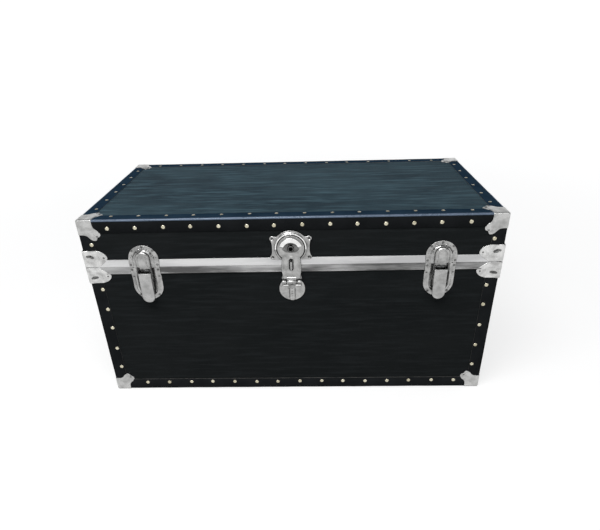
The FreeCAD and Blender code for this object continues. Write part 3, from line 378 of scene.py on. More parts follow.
class Finish:
    """A material under construction, with short calls for its nodes."""

    def __init__(self, name, **sockets):
        self.material = bpy.data.materials.new(name)
        self.material.use_nodes = True
        self.tree = self.material.node_tree
        self.shader = self.tree.nodes["Principled BSDF"]
        self.place = self.node("ShaderNodeTexCoord").outputs["Object"]
        self.fill(self.shader, {socket.replace("_", " "): value for socket, value in sockets.items()})

    def node(self, kind, sockets=None, **settings):
        made = self.tree.nodes.new(kind)
        for name, value in settings.items():
            setattr(made, name, value)
        self.fill(made, sockets or {})
        return made

    def fill(self, node, sockets):
        """Links a node's sockets to other nodes, or sets their plain values."""
        for key, value in sockets.items():
            if isinstance(value, bpy.types.NodeSocket):
                self.tree.links.new(value, node.inputs[key])
            else:
                node.inputs[key].default_value = value

    def noise(self, scale, detail=4.0, rough=0.55, seed=0.0):
        """Noise with so many waves per metre, along each axis or all alike."""
        scale = scale if isinstance(scale, tuple) else (scale,) * 3
        sockets = {"Vector": self.place, "Scale": scale, "Location": (seed, seed * 0.7, seed * 1.3)}
        stretched = self.node("ShaderNodeMapping", sockets).outputs["Vector"]
        sockets = {"Vector": stretched, "Scale": 1.0, "Detail": detail, "Roughness": rough}
        return self.node("ShaderNodeTexNoise", sockets).outputs["Fac"]

    def cells(self, scale):
        return self.node("ShaderNodeTexVoronoi", {"Vector": self.place, "Scale": scale}).outputs["Distance"]

    def ramp(self, source, *stops):
        made = self.node("ShaderNodeValToRGB", {"Fac": source})
        for element, (position, colour) in zip(made.color_ramp.elements, stops):
            element.position = position
            element.color = (*colour, 1)
        return made.outputs["Color"]

    def span(self, source, low, high, start=0.3, end=0.7):
        """The source from start to end, spread from low to high."""
        sockets = {"Value": source, "From Min": start, "From Max": end, "To Min": low, "To Max": high}
        return self.node("ShaderNodeMapRange", sockets).outputs["Result"]

    def mixed(self, share, first, second):
        """The first colour going over to the second, which may be a plain colour."""
        second = (*second, 1) if isinstance(second, tuple) else second
        sockets = {MIX_SHARE: share, MIX_FIRST: first, MIX_SECOND: second}
        return self.node("ShaderNodeMix", sockets, data_type="RGBA").outputs[MIX_RESULT]

    def painted_shade_mask(self, distance):
        """1 on open surfaces, falling towards 0 in creases: the mask for painted shade in creases."""
        sockets = {"Distance": distance * MM}
        return self.node("ShaderNodeAmbientOcclusion", sockets, samples=CREASE_SAMPLES).outputs["AO"]

    def done(self, colour, rough, *bumps):
        """The material, with bumps from (height, depth in mm) layers, coarse first."""
        self.fill(self.shader, {"Base Color": colour, "Roughness": rough})
        below = {}
        for source, depth in bumps:
            bump = self.node("ShaderNodeBump", {"Height": source, "Distance": depth * MM, **below})
            below = {"Normal": bump.outputs["Normal"]}
        self.fill(self.shader, below)
        return self.material


def covering(name, dark, light, speck):
    """Grained coated covering with fine streaks along the trunk."""
    f = Finish(name, Specular_IOR_Level=0.02)
    streaks = f.noise((10, 120, 120), rough=0.6)
    clouds = f.noise((5, 7, 7), detail=3, seed=4)
    body = f.ramp(clouds, (0.38, dark), (0.62, light))
    tone = f.mixed(f.span(streaks, 0, 1, start=0.47, end=0.68), body, speck)
    return f.done(tone, f.span(streaks, 0.5, 0.68), (streaks, 0.3), (f.cells(850), 0.16))


def nickel(name, pale, dull, rough, unevenness, crease=(0.05, 0.05, 0.052)):
    """Plated pressed steel: a little uneven and clouded, with painted shade darkening its creases."""
    f = Finish(name, Metallic=1.0)
    clouds = f.noise(70, detail=5, seed=2)
    fine = f.noise(900, detail=3, seed=9)
    dents = f.noise(150, detail=2, seed=6)
    plate = f.ramp(clouds, (0.32, dull), (0.62, pale))
    # Painted shade: the plate goes over to the crease colour in creases.
    tone = f.mixed(f.span(f.painted_shade_mask(6), 1, 0, start=0.4, end=0.94), plate, crease)
    return f.done(tone, f.span(clouds, rough + 0.12, rough - 0.04), (dents, unevenness), (fine, 0.02))


def drawn_rail(name, dark, pale):
    """Drawn rail with lengthwise drawing lines and slow waves, and painted shade darkening its creases."""
    f = Finish(name, Metallic=1.0)
    lines = f.noise((3, 3, 700), seed=1)
    waves = f.noise((7, 7, 30), detail=2, seed=3)
    stains = f.noise((6, 6, 40), seed=8)
    plate = f.ramp(stains, (0.36, dark), (0.62, pale))
    # Painted shade: the rail goes over to near black in creases.
    tone = f.mixed(f.span(f.painted_shade_mask(4), 1, 0, start=0.3, end=0.85), plate, (0.1, 0.1, 0.1))
    return f.done(tone, f.span(lines, 0.24, 0.42), (waves, 1.5), (lines, 0.05))


def plain_metal(name, pale, dull, rough):
    """Zinc-plated sheet with faint rolling lines, and painted shade darkening its creases."""
    f = Finish(name, Metallic=1.0)
    clouds = f.noise(60, detail=5, seed=5)
    lines = f.noise((40, 700, 700), detail=3, seed=7)
    plate = f.ramp(clouds, (0.3, dull), (0.65, pale))
    # Painted shade: the sheet goes over to near black in creases.
    tone = f.mixed(f.span(f.painted_shade_mask(4), 0.8, 0, start=0.3, end=0.9), plate, (0.08, 0.08, 0.08))
    return f.done(tone, f.span(lines, rough, rough + 0.16), (clouds, 0.12), (lines, 0.03))


def lining(name):
    """Matte paper with fibres and slow stains."""
    f = Finish(name, Specular_IOR_Level=0.2)
    fibres = f.noise(300, detail=6, rough=0.7)
    clouds = f.noise(12, detail=3, seed=3)
    body = f.ramp(clouds, (0.3, (0.50, 0.46, 0.38)), (0.7, (0.62, 0.58, 0.49)))
    tone = f.mixed(f.span(fibres, 0, 0.4, start=0.5, end=0.75), body, (0.42, 0.38, 0.31))
    return f.done(tone, f.span(fibres, 0.75, 0.92), (fibres, 0.1))


def moulded(name, dark, light, shine):
    """Finely grained dark plastic, or the near black of painted shade."""
    f = Finish(name, Specular_IOR_Level=shine)
    clouds = f.noise(40, seed=2)
    tone = f.ramp(clouds, (0.3, dark), (0.7, light))
    return f.done(tone, f.span(clouds, 0.42, 0.6), (f.cells(700), 0.12))


def binding_finish(name):
    """Smooth binding strip: near black, painted lighter and bluer near the top where light falls, paler where
    it is rubbed.
    """
    f = Finish(name, Specular_IOR_Level=0.0)
    clouds = f.noise(20, seed=1)
    scuffs = f.noise((30, 160, 160), detail=6, rough=0.75, seed=5)
    wall = f.ramp(clouds, (0.3, (0.0145, 0.016, 0.0174)), (0.7, (0.021, 0.023, 0.025)))
    # Painted light: a lighter, bluer copy of the wall tone, mixed in within 4 mm of the top.
    top = f.ramp(clouds, (0.3, (0.011, 0.024, 0.041)), (0.7, (0.017, 0.035, 0.057)))
    height = f.node("ShaderNodeSeparateXYZ", {0: f.place}).outputs["Z"]
    body = f.mixed(f.span(height, 0, 1, start=(TOP - 4) * MM, end=TOP * MM), wall, top)
    tone = f.mixed(f.span(scuffs, 0, 0.45, start=0.62, end=0.8), body, (0.02, 0.026, 0.034))
    return f.done(tone, f.span(scuffs, 0.4, 0.55), (f.cells(600), 0.08), (scuffs, 0.05))


def painted_highlight_fold(name):
    """The fold of a binding strip, smooth, shiny and painted pale blue: a painted highlight along the edge.
    """
    f = Finish(name, Specular_IOR_Level=1.0, Specular_Tint=(0.72, 0.86, 1.0, 1))
    scuffs = f.noise(25, detail=5, rough=0.7, seed=5)
    # The pale blue tones are the painted highlight; the noise makes it patchy.
    tone = f.ramp(scuffs, (0.35, (0.06, 0.085, 0.13)), (0.7, (0.105, 0.14, 0.21)))
    return f.done(tone, f.span(scuffs, 0.22, 0.36), (scuffs, 0.05))


def raw_fibre(name):
    """The cut edge of a binding strip."""
    f = Finish(name, Specular_IOR_Level=0.1)
    fibres = f.noise((60, 500, 500), detail=5)
    tone = f.ramp(fibres, (0.3, (0.05, 0.05, 0.05)), (0.7, (0.16, 0.155, 0.145)))
    return f.done(tone, f.span(fibres, 0.7, 0.9), (fibres, 0.1))


COVER = covering("covering", (0.0128, 0.015, 0.0158), (0.0162, 0.0184, 0.0192), (0.021, 0.024, 0.0255))
# The top panel gets a lighter, bluer copy of the covering: painted light where the top faces the lamps.
COVER_PAINTED_LIGHT = covering("covering_top_painted_light", (0.015, 0.030, 0.041), (0.027, 0.050, 0.064), (0.056, 0.097, 0.119))
EDGE = binding_finish("binding")
FOLD_HIGHLIGHT = painted_highlight_fold("binding_fold_painted_highlight")
RAW_EDGE = raw_fibre("binding_raw_edge")
NICKEL = nickel("nickel_plate", (0.43, 0.43, 0.424), (0.26, 0.26, 0.256), 0.17, 0.4)
CLAMP_NICKEL = nickel("nickel_clamp", (0.66, 0.66, 0.652), (0.40, 0.40, 0.395), 0.2, 0.3)
# A bright copy of the nickel, for painted highlights on the lock's ring, the hasp's brow and the base's bars.
HIGHLIGHT_NICKEL = nickel("nickel_painted_highlight", (0.88, 0.88, 0.87), (0.70, 0.70, 0.69), 0.16, 0.1)
CAP_NICKEL = nickel("nickel_cap", (0.52, 0.52, 0.514), (0.36, 0.36, 0.354), 0.26, 0.2)
SMOOTH_NICKEL = nickel("nickel_smooth", (0.43, 0.43, 0.426), (0.31, 0.31, 0.306), 0.26, 0.12)
# A dark copy of the nickel, for painted shade on the nails, the almond hollows, the hasp's eye and the key
# plug.
SHADED_NICKEL = nickel("nickel_painted_shade", (0.2, 0.2, 0.197), (0.1, 0.1, 0.098), 0.26, 0.12, (0.004, 0.004, 0.004))
TACK = nickel("tack_plate", (0.62, 0.585, 0.46), (0.38, 0.345, 0.24), 0.2, 0.1)
# Two copies of one rail finish: the body's is painted darker, painted shade where its face turns down.
RAIL = drawn_rail("lid_rail", (0.47, 0.47, 0.475), (0.65, 0.65, 0.65))
SHADED_RAIL = drawn_rail("body_rail", (0.1, 0.1, 0.1), (0.42, 0.42, 0.42))
ZINC = plain_metal("zinc_plate", (0.62, 0.63, 0.64), (0.42, 0.43, 0.44), 0.34)
PAPER = lining("lining_paper")
GRIP = moulded("grip_moulding", (0.012, 0.013, 0.014), (0.03, 0.031, 0.033), 0.3)
# The keyway is painted shade: a near-black sheet in the keyhole.
KEYWAY_SHADE = moulded("keyway_painted_shade", (0.002, 0.002, 0.002), (0.005, 0.005, 0.005), 0.05)


def node_finish(name):
    """The finish of a solid, by its name."""
    # The top panel takes the lit copy of the covering: painted light.
    if name == "lid_top_panel":
        return COVER_PAINTED_LIGHT
    if "_rail_" in name:
        # The body's rails take the darker copy: painted shade.
        return RAIL if name.startswith("lid_") else SHADED_RAIL
    if name.startswith(("stay_", "hinge_")):
        return ZINC
    endings = {"panel": COVER, "bindings": EDGE, "lining": PAPER, "grip": GRIP, "pin": ZINC}
    return endings.get(name.split("_")[-1], NICKEL)


for name, node in nodes.items():
    node.data.materials.clear()
    node.data.materials.append(node_finish(name))

# Solids that stay in view get their hard edges rounded.
WELD_GAP = 0.001
HARD_ANGLE = 25


def softened(names, width, segments=2):
    for name in names:
        modifiers = nodes[name].modifiers
        weld = modifiers.new("Weld", "WELD")
        weld.merge_threshold = WELD_GAP * MM
        bevel = modifiers.new("Soft edges", "BEVEL")
        bevel.width = width * MM
        bevel.segments = segments
        bevel.limit_method = "ANGLE"
        bevel.angle_limit = math.radians(HARD_ANGLE)
        modifiers.new("Even shading", "WEIGHTED_NORMAL")


handle_parts = [f"{side}_handle_{part}" for side in ("left", "right") for part in ("bail", "grip")]
softened([name for name in nodes if "_rail_" in name], width=0.35)
softened(["handle_plates"] + handle_parts, width=0.9, segments=3)
softened(["hinge_body_leaves", "hinge_lid_leaves", "stay_body_bracket", "stay_lid_bracket"], width=0.4)
softened(["stay_upper_arm", "stay_lower_arm", "padlock_staple"], width=0.4)

# Sides of the box. The walls start at their middle line at floor height, top and underside at their middle.
FRONT_FACE = Face((0, FRONT, 0), (1, 0, 0), (0, 0, 1), (0, -1, 0))
BACK_FACE = Face((0, BACK, 0), (-1, 0, 0), (0, 0, 1), (0, 1, 0))
RIGHT_FACE = Face((RIGHT, 0, 0), (0, 1, 0), (0, 0, 1), (1, 0, 0))
LEFT_FACE = Face((-RIGHT, 0, 0), (0, -1, 0), (0, 0, 1), (-1, 0, 0))
TOP_FACE = Face((0, 0, TOP), (1, 0, 0), (0, 1, 0), (0, 0, 1))
UNDER_FACE = Face((0, 0, BOTTOM), (1, 0, 0), (0, -1, 0), (0, 0, -1))
WALLS = [(FRONT_FACE, RIGHT), (BACK_FACE, RIGHT), (RIGHT_FACE, BACK), (LEFT_FACE, BACK)]
CORNERS = [(sx, sy) for sx in (-1, 1) for sy in (-1, 1)]


def corner_walls(sx, sy, level, up):
    """The two sides that meet at an upright edge, seen from the edge at a level."""
    spot = (sx * RIGHT, sy * BACK, level)
    return [Face(spot, (-sx, 0, 0), (0, 0, up), (0, sy, 0)), Face(spot, (0, -sy, 0), (0, 0, up), (sx, 0, 0))]


# Bindings: strips folded over the box's edges with a rounded fold, that show their cut edges.
FOLD = 3.6
FOLD_TURN = 9
LEG = 28
CUT_FALL = 0.4
CUT_RUN = 0.5
STRIP_SHORT = 3
RIPPLE_STEP = 25
RIPPLE = 0.1
SLOW_RIPPLE = 0.06


class Strips:
    """Folded strips of one body: their legs, the folds and the cut edges."""

    def __init__(self):
        self.legs, self.folds, self.cuts = Piece(), Piece(), Piece()

    def add(self, start, end, first, second):
        """A strip over the box edge from start to end, on the sides that face first and second."""
        run = np.array(end, float) - np.array(start, float)
        length = np.linalg.norm(run)
        face = Face(start, first, second, run / length)
        middle = BINDING - FOLD
        turns = np.radians(range(0, 91, FOLD_TURN))
        fold = [(middle + FOLD * math.cos(a), middle + FOLD * math.sin(a)) for a in turns]
        leg = [(BINDING - CUT_FALL, -LEG), (BINDING, CUT_RUN - LEG), fold[0]]
        other = [fold[-1], (CUT_RUN - LEG, BINDING), (-LEG, BINDING - CUT_FALL)]
        self.sweep(self.legs, face, length, leg)
        self.sweep(self.legs, face, length, other)
        self.sweep(self.folds, face, length, fold)
        for section in ([(0, -LEG), leg[0]], [other[-1], (-LEG, 0)]):
            self.sweep(self.cuts, face, length, section)

    def sweep(self, piece, face, length, section):
        """The section drawn along the strip, with the slight waves of a strip bent by hand."""
        count = max(2, round(length / RIPPLE_STEP))
        wide = len(section)
        points = []
        for i, along in enumerate(np.linspace(0, length, count + 1)):
            wave = RIPPLE * math.sin(i * 1.7 + length) + SLOW_RIPPLE * math.sin(i * 0.6)
            points += [(a + wave * (a > 0), b + wave * (b > 0), along) for a, b in section]
        starts = [i * wide + j for i in range(count) for j in range(wide - 1)]
        piece.add(face, points, [(s, s + 1, s + wide + 1, s + wide) for s in starts])

    def make(self, name, body, fold_finish):
        self.legs.make(f"{name}_strips", EDGE, body, [f"{name}_bindings"], slot="edge_binding")
        self.folds.make(f"{name}_folds", fold_finish, body, slot="edge_binding")
        self.cuts.make(f"{name}_cut_edges", RAW_EDGE, body, slot="edge_binding")


for name, body, level, sign in (("lid_edge", "lid", TOP, 1), ("base_edge", "trunk_body", BOTTOM, -1)):
    strips = Strips()
    for side in (-1, 1):
        x, y = RIGHT - STRIP_SHORT, BACK - STRIP_SHORT
        strips.add((-x, side * BACK, level), (x, side * BACK, level), (0, side, 0), (0, 0, sign))
        strips.add((side * RIGHT, -y, level), (side * RIGHT, y, level), (side, 0, 0), (0, 0, sign))
    # Only the lid's top folds get the painted highlight; the others keep the dark binding.
    strips.make(name, body, FOLD_HIGHLIGHT if sign > 0 else EDGE)
for name, body in (("lid_corner", "lid"), ("body_corner", "trunk_body")):
    strips = Strips()
    low, high = corner(f"{name}_bindings", 0)[2], corner(f"{name}_bindings", 1)[2]
    for sx, sy in CORNERS:
        strips.add((sx * RIGHT, sy * BACK, low), (sx * RIGHT, sy * BACK, high), (sx, 0, 0), (0, sy, 0))
    strips.make(name, body, EDGE)

# Domed tacks along the bindings, set by hand and so a little off their line.
TACK_PROFILE = [(4.3, 0), (4.5, 0.35), (4.1, 0.95), (3.2, 1.5), (1.8, 1.88), (0.6, 2.0)]
LOW_TACK_PROFILE = [(3.5, 0), (3.6, 0.25), (3.0, 0.65), (1.9, 0.92), (0.6, 1.02)]
TACK_SIDES = 14
ROW_INSET = 17
LOW_ROW_INSET = 19
TOP_ROW_INSET = 20
COLUMN_INSET = 22
ROW_END = 70
LONG_ROW, SHORT_ROW, TOP_SHORT_ROW = 14, 7, 6
FRONT_SHIFT, LOW_FRONT_SHIFT = -5, 10
LID_COLUMN = (400,)
BODY_COLUMN = (290, 238, 184, 128, 72)


def wander(number):
    """An uneven distance that is the same for the same number."""
    return 1.6 * math.sin(number * 12.9898) + 0.9 * math.sin(number * 4.1)


def tack_row(piece, face, half, v, count, profile, shift=0):
    for i, u in enumerate(np.linspace(-half, half, count)):
        spot = (u + shift + wander(i + half), v + wander(i * 3 + v) * 0.5, BINDING)
        turned(piece, face, spot, profile, TACK_SIDES)


def tack_columns(piece, face, half, heights):
    for side in (-1, 1):
        for v in heights:
            spot = (side * (half - COLUMN_INSET) + wander(v) * 0.5, v + wander(v + side), BINDING)
            turned(piece, face, spot, TACK_PROFILE, TACK_SIDES)


lid_tacks = Piece()
body_tacks = Piece()
for face, half in WALLS:
    count = LONG_ROW if half == RIGHT else SHORT_ROW
    shift, low_shift = (FRONT_SHIFT, LOW_FRONT_SHIFT) if face is FRONT_FACE else (0, 0)
    tack_row(lid_tacks, face, half - ROW_END, TOP - ROW_INSET, count, TACK_PROFILE, shift)
    tack_row(body_tacks, face, half - ROW_END, BOTTOM + LOW_ROW_INSET, count + 1, TACK_PROFILE, low_shift)
    tack_columns(lid_tacks, face, half, LID_COLUMN)
    tack_columns(body_tacks, face, half, BODY_COLUMN)
for piece, face in ((lid_tacks, TOP_FACE), (body_tacks, UNDER_FACE)):
    ends = Face(face.origin, face.axes[1], -face.axes[0], face.axes[2])
    for side in (-1, 1):
        tack_row(piece, face, RIGHT - ROW_END, side * (BACK - TOP_ROW_INSET), LONG_ROW, LOW_TACK_PROFILE)
        tack_row(piece, ends, BACK - ROW_END, side * (RIGHT - TOP_ROW_INSET), TOP_SHORT_ROW, LOW_TACK_PROFILE)
lid_tacks.make("lid_tacks", TACK, "lid")
body_tacks.make("body_tacks", TACK, "trunk_body")

# Nails and rivets, gathered for the lid and the body, get the dark nickel of painted shade, darker than their
# plates.
RIVET_PROFILE = [(2.9, 0), (3.0, 0.3), (2.5, 0.8), (1.5, 1.15), (0.5, 1.25)]
NAIL_PROFILE = [(2.6, 0), (2.6, 0.35), (2.1, 0.85), (1.2, 1.1), (0.4, 1.15)]
CAP_RIVET_PROFILE = [(radius * 0.75, height) for radius, height in RIVET_PROFILE]
EAR_NAIL_PROFILE = [(radius * 0.8, height) for radius, height in NAIL_PROFILE]
lid_nails = Piece()
body_nails = Piece()
HALVES = (("lid", "lid", TOP, 1, lid_nails), ("body", "trunk_body", BOTTOM, -1, body_nails))

# Corner caps: on each of three faces two legs and a paw-shaped lobe, meeting in a rounded corner.
EDGE_ROUND = 4.6
EDGE_START = EDGE_ROUND * (1 - math.sqrt(0.5))
ROUND_ROWS = (0.4, 0.9, 1.5, 2.3, 3.2)
PAST_EDGE = -40
CAP_ARM = 32.5
CAP_RIVET = (37.4, 35.6, CAP - 1.3)
paw = [(CAP_ARM, 6), (33.4, 13), (36.6, 18.4), (41.6, 22.4), (45.4, 27.8), (45.9, 33.6)]
paw += [(43.0, 37.0), (39.6, 38.2)]
paw_line = curve(paw + [(v, u) for u, v in reversed(paw)])
CAP_OUTLINE, CAP_FREE = (
    closed([(start, start), (CAP_ARM, start)] + paw_line + [(start, CAP_ARM)])
    for start in (EDGE_START - CAP, PAST_EDGE)
)


def drawn_in(u, v, edge, inward=0):
    """Points past a box edge, drawn in with the rolled rim, and at the corner by its round."""
    return np.stack([np.where(x < 0, x * edge, x) + inward for x in (u, v)], 1)


def cap_height(u, v, rim):
    flat = CAP - slope(np.hypot(u, v), start=40, end=52, rise=1.0)
    back = swell(u, v, (34, 34), (15, 9), rise=0.5, turn=45)
    toes = sum(swell(u, v, spot, (3.4, 3.4), rise=0.9) for spot in ((40.5, 31), (31, 40.5)))
    ring = bead(np.hypot(u - 35.6, v - 35.6), at=4.2, width=1.3, rise=0.6)
    edge = lip(rim, low=0.3, radius=1.5)
    fall_u, fall_v = (fall(x + CAP, EDGE_ROUND, EDGE_ROUND) for x in (u, v))
    form = flat + np.minimum(back - toes - ring, CAP - flat) - fall_u - fall_v
    return form * edge, drawn_in(u, v, edge, fall_u * fall_v / EDGE_START)


for half, body, level, sign, nails in HALVES:
    caps = Piece()
    for sx, sy in CORNERS:
        flat = Face((sx * RIGHT, sy * BACK, level), (-sx, 0, 0), (0, -sy, 0), (0, 0, sign))
        for face in corner_walls(sx, sy, level, -sign) + [flat]:
            pressed(caps, face, CAP_OUTLINE, cap_height, rows=ROUND_ROWS, free=CAP_FREE)
            turned(nails, face, CAP_RIVET, CAP_RIVET_PROFILE)
    caps.weld()
    caps.make(f"{half}_caps_pressed", CAP_NICKEL, body, [f"{half}_corner_caps"])

# Mouth clamps: a leaf on each wall, above or below the parting line, with an almond hollow and a rivet.
PARTING = 0.25
CLAMP_REACH = 40
LEAF_FALL = 0.9
CREASE_LEAN = 0.12
CLAMP_RIVET = (41.5, 22, 1.9)
ALMOND_SPOT = (12.5, 25.5)
ALMOND_HALF = np.array([8.8, 3.5])
ALMOND_COS, ALMOND_SIN = 0.978, 0.208
HOLLOW_FOOT = 1.0
HOLLOW_PROUD = 0.12
leaf = curve([(27, PARTING), (37, 7.5), (45.5, 14.5), (49.6, 21), (47, 28.5), (39.5, 35.5), (28, 39.6)])
CLAMP_OUTLINE, CLAMP_FREE = (
    closed([(start, PARTING)] + leaf + [(start, CLAMP_REACH)]) for start in (EDGE_START - CLAMP, PAST_EDGE)
)
almond_turn = np.array([[ALMOND_COS, ALMOND_SIN], [-ALMOND_SIN, ALMOND_COS]])
ALMOND = closed([ALMOND_SPOT + almond_turn @ (ALMOND_HALF * p) for p in arc((0, 0), 1, 0, 350, 0.2)], 1.0)


def clamp_height(u, v, rim):
    flat = CLAMP - (slope(v, start=14, end=38, rise=1.6) + LEAF_FALL) * ease(u, 0, 14)
    tip = slope(u, start=30, end=50, rise=1.3)
    back = swell(u, v, (22, 18), (26, 18), rise=0.9, turn=8) * ease(u, 0, 8)
    almond = boss(u, v, ALMOND_SPOT, (9.5, 4.2), rise=2.1, flank=0.8, turn=-12)
    second = boss(u, v, (32, 19.5), (4.6, 3.2), rise=1.5, flank=0.8, turn=25)
    crease = bead(v - CREASE_LEAN * u, at=11, width=2.8, rise=1.0) * ease(u, 2, 14)
    ring = bead(np.hypot(u - CLAMP_RIVET[0], v - CLAMP_RIVET[1]), at=5, width=1.6, rise=0.7)
    edge = lip(rim, low=0.4, radius=1.9)
    form = flat - tip + back - almond - second - crease - ring - fall(u + CLAMP, EDGE_ROUND, EDGE_ROUND)
    return form * edge, drawn_in(u, v, edge)


def painted_shade_hollow_height(u, v, rim):
    """The floor of the almond hollow, a little proud of the sheet, darkened with painted shade."""
    return clamp_height(u, v, rim + CLAMP)[0] + HOLLOW_PROUD


for half, body, _, sign, nails in HALVES:
    clamps = Piece()
    for sx, sy in CORNERS:
        for face in corner_walls(sx, sy, MOUTH, sign):
            pressed(clamps, face, CLAMP_OUTLINE, clamp_height, rows=ROUND_ROWS, free=CLAMP_FREE)
            # The hollow's floor goes with the nails and their dark nickel: painted shade.
            pressed(nails, face, ALMOND, painted_shade_hollow_height, HOLLOW_FOOT, rows=())
            turned(nails, face, CLAMP_RIVET, RIVET_PROFILE)
    clamps.weld()
    clamps.make(f"{half}_clamps_pressed", CLAMP_NICKEL, body, [f"{half}_corner_clamps"])

# Draw-bolts. Keeper and base are the two halves of a long stamped plate with a nailed flange.
KEEPER_HALF, KEEPER_RISE, BASE_HALF, BASE_DROP = 34, 17, 33.5, 49
HALF_GAP = 0.2
PIN_DROP = MOUTH - pivot("right_lever_pivot")[2]
PIN_OUT = FRONT - pivot("right_lever_pivot")[1]
FLANGE = 2.3
RAIL_LIFT = 2.1
NAIL_SEAT = 2.2
NEAR_RAIL = 20
SCALLOPS, SCALLOP_WAVE = 15, 0.9
KEEPER_NAILS = [(0, 47.2)] + both([(27.2, 21), (23.5, 38.5), (29.6, 6)])
BASE_NAILS = both([(28.3, -22.5), (29, -6), (22, -70)])
EAR_OUT, EAR_SHEET, EAR_RADIUS, EAR_FOOT = 12.2, 1.6, 2.9, 3.0
keeper_mouth = [(-KEEPER_HALF, HALF_GAP), (KEEPER_HALF, HALF_GAP)]
base_mouth = [(BASE_HALF, -HALF_GAP), (-BASE_HALF, -HALF_GAP)]
KEEPER_OUTLINE = closed(keeper_mouth + arc((0, KEEPER_RISE), KEEPER_HALF, 0, 180))
BASE_OUTLINE = closed(base_mouth + arc((0, -BASE_DROP), BASE_HALF, 180, 360))
ear_round = arc((PIN_OUT, 0), EAR_RADIUS, -90, 90, 0.6)
EAR_OUTLINE = closed(
    [(EAR_FOOT, -EAR_RADIUS), (PIN_OUT, -EAR_RADIUS)] + ear_round + [(EAR_FOOT, EAR_RADIUS)], 1.0
)


def side_distance(u, v, half, turn):
    """The distance in from the side or the round end of a plate that turns round at a height."""
    past = np.where(np.sign(turn) * (v - turn) > 0, v - turn, 0)
    return half - np.hypot(u, past)


def keeper_height(u, v, rim):
    side = side_distance(u, v, KEEPER_HALF, KEEPER_RISE)
    on_rail = slope(v, start=25, end=17, rise=1)
    flange = FLANGE + RAIL_LIFT * on_rail
    bank = bead(side, at=8.2, width=2.6, rise=1.9 - 1.2 * on_rail)
    inner = slope(side, start=9.5, end=13.2, rise=5.0 - 1.7 * on_rail)
    scallops = bead(side, at=8.2, width=2.6, rise=0.7) * np.cos(np.arctan2(v - KEEPER_RISE, u) * SCALLOPS)
    groove = bead(side, at=13.8, width=1.5, rise=0.8)
    return (flange + bank + inner + scallops - groove) * lip(side, low=0.25, radius=1.6)


def base_height(u, v, rim):
    side = side_distance(u, v, BASE_HALF, -BASE_DROP)
    on_rail = slope(-v, start=25, end=17, rise=1)
    flange = FLANGE + RAIL_LIFT * on_rail
    bank = bead(side, at=10.5, width=5.2, rise=3.0 - 1.9 * on_rail)
    trough = slope(side, start=13, end=17, rise=0.9)
    scallops = bead(side, at=8.5, width=2.6, rise=0.6) * on_rail * np.cos(v * SCALLOP_WAVE)
    return (flange + bank - trough + scallops) * lip(side, low=0.25, radius=1.6)


def nailed(nails, face, spots):
    for u, v in spots:
        turned(nails, face, (u, v, NAIL_SEAT + RAIL_LIFT * (abs(v) < NEAR_RAIL)), NAIL_PROFILE)


def drawbolt_face(side):
    return Face((side * DRAWBOLT, FRONT, MOUTH), (side, 0, 0), (0, 0, 1), (0, -1, 0))


keepers = Piece()
bases = Piece()
for side in (-1, 1):
    face = drawbolt_face(side)
    pressed(keepers, face, KEEPER_OUTLINE, keeper_height)
    pressed(bases, face, BASE_OUTLINE, base_height)
    nailed(lid_nails, face, KEEPER_NAILS)
    nailed(body_nails, face, BASE_NAILS)
    for across in (-1, 1):
        spot = face.at((across * (EAR_OUT - EAR_SHEET), -PIN_DROP, 0))
        ear_face = Face(spot, (0, -1, 0), (0, 0, 1), (across, 0, 0))
        for height in (EAR_SHEET, 0):
            pressed(bases, ear_face, EAR_OUTLINE, plane(height), step=1.2, rows=())
keepers.make("keepers_pressed", NICKEL, "lid", ["drawbolt_keepers"])
bases.make("bases_pressed", NICKEL, "trunk_body", ["drawbolt_bases"])

# Lever: a folded strip with a round thumb end. Claw: a hood over the keeper, with two cheeks.
LEVER_HALF, LEVER_TOP, LEVER_END, LEVER_BACK, LEVER_FRONT = 14, -11, -84, 6.6, 17.6
LEVER_SHEET = 1.4
LEVER_CROWN = 0.6
LEVER_TURN = LEVER_END + LEVER_HALF
CHANNEL_END = -60
TIP_DEPTH = 5.6
PIN_HEAD_PROFILE = [(2.2, 0), (2.1, 0.12), (1.0, 0.22)]
lever_head = [(LEVER_HALF, LEVER_TOP), (-LEVER_HALF, LEVER_TOP)]
LEVER_OUTLINE = closed(lever_head + arc((0, LEVER_TURN), LEVER_HALF, 180, 360))
CLAW_HALF, CLAW_INNER, CLAW_LOW, CLAW_SILL, CLAW_TURN, CLAW_FRONT = 15.8, 14.4, -28, 4, 23.2, 15.2
CLAW_BACK, CHEEK_BACK, CLAW_FALL, HOOD_RISE = 8.9, 5.4, 7.3, 6.4
half_claw = [(CLAW_INNER, CLAW_SILL), (CLAW_INNER, CLAW_LOW), (CLAW_HALF, CLAW_LOW)]
CLAW_OUTLINE = closed(flipped(half_claw) + half_claw + arc((0, CLAW_TURN), CLAW_HALF, 0, 180), 1.2)


def lever_height(u, v, rim):
    side = side_distance(u, v, LEVER_HALF, LEVER_TURN)
    crown = LEVER_CROWN * (u / LEVER_HALF) ** 2
    head = fall(LEVER_TOP - v, radius=2, depth=0.7)
    tip = slope(-v, start=62, end=84, rise=1.5)
    return LEVER_FRONT - crown - head - tip - fall(side + 0.3, radius=3.2, depth=2.6)


def lever_base(u, v):
    """A channel, open at the top between its cheeks, where it turns round the ears."""
    channel = np.where(np.abs(u) < LEVER_HALF - LEVER_SHEET, LEVER_FRONT - LEVER_SHEET, LEVER_BACK)
    return np.where(v > CHANNEL_END, channel, LEVER_FRONT - TIP_DEPTH)


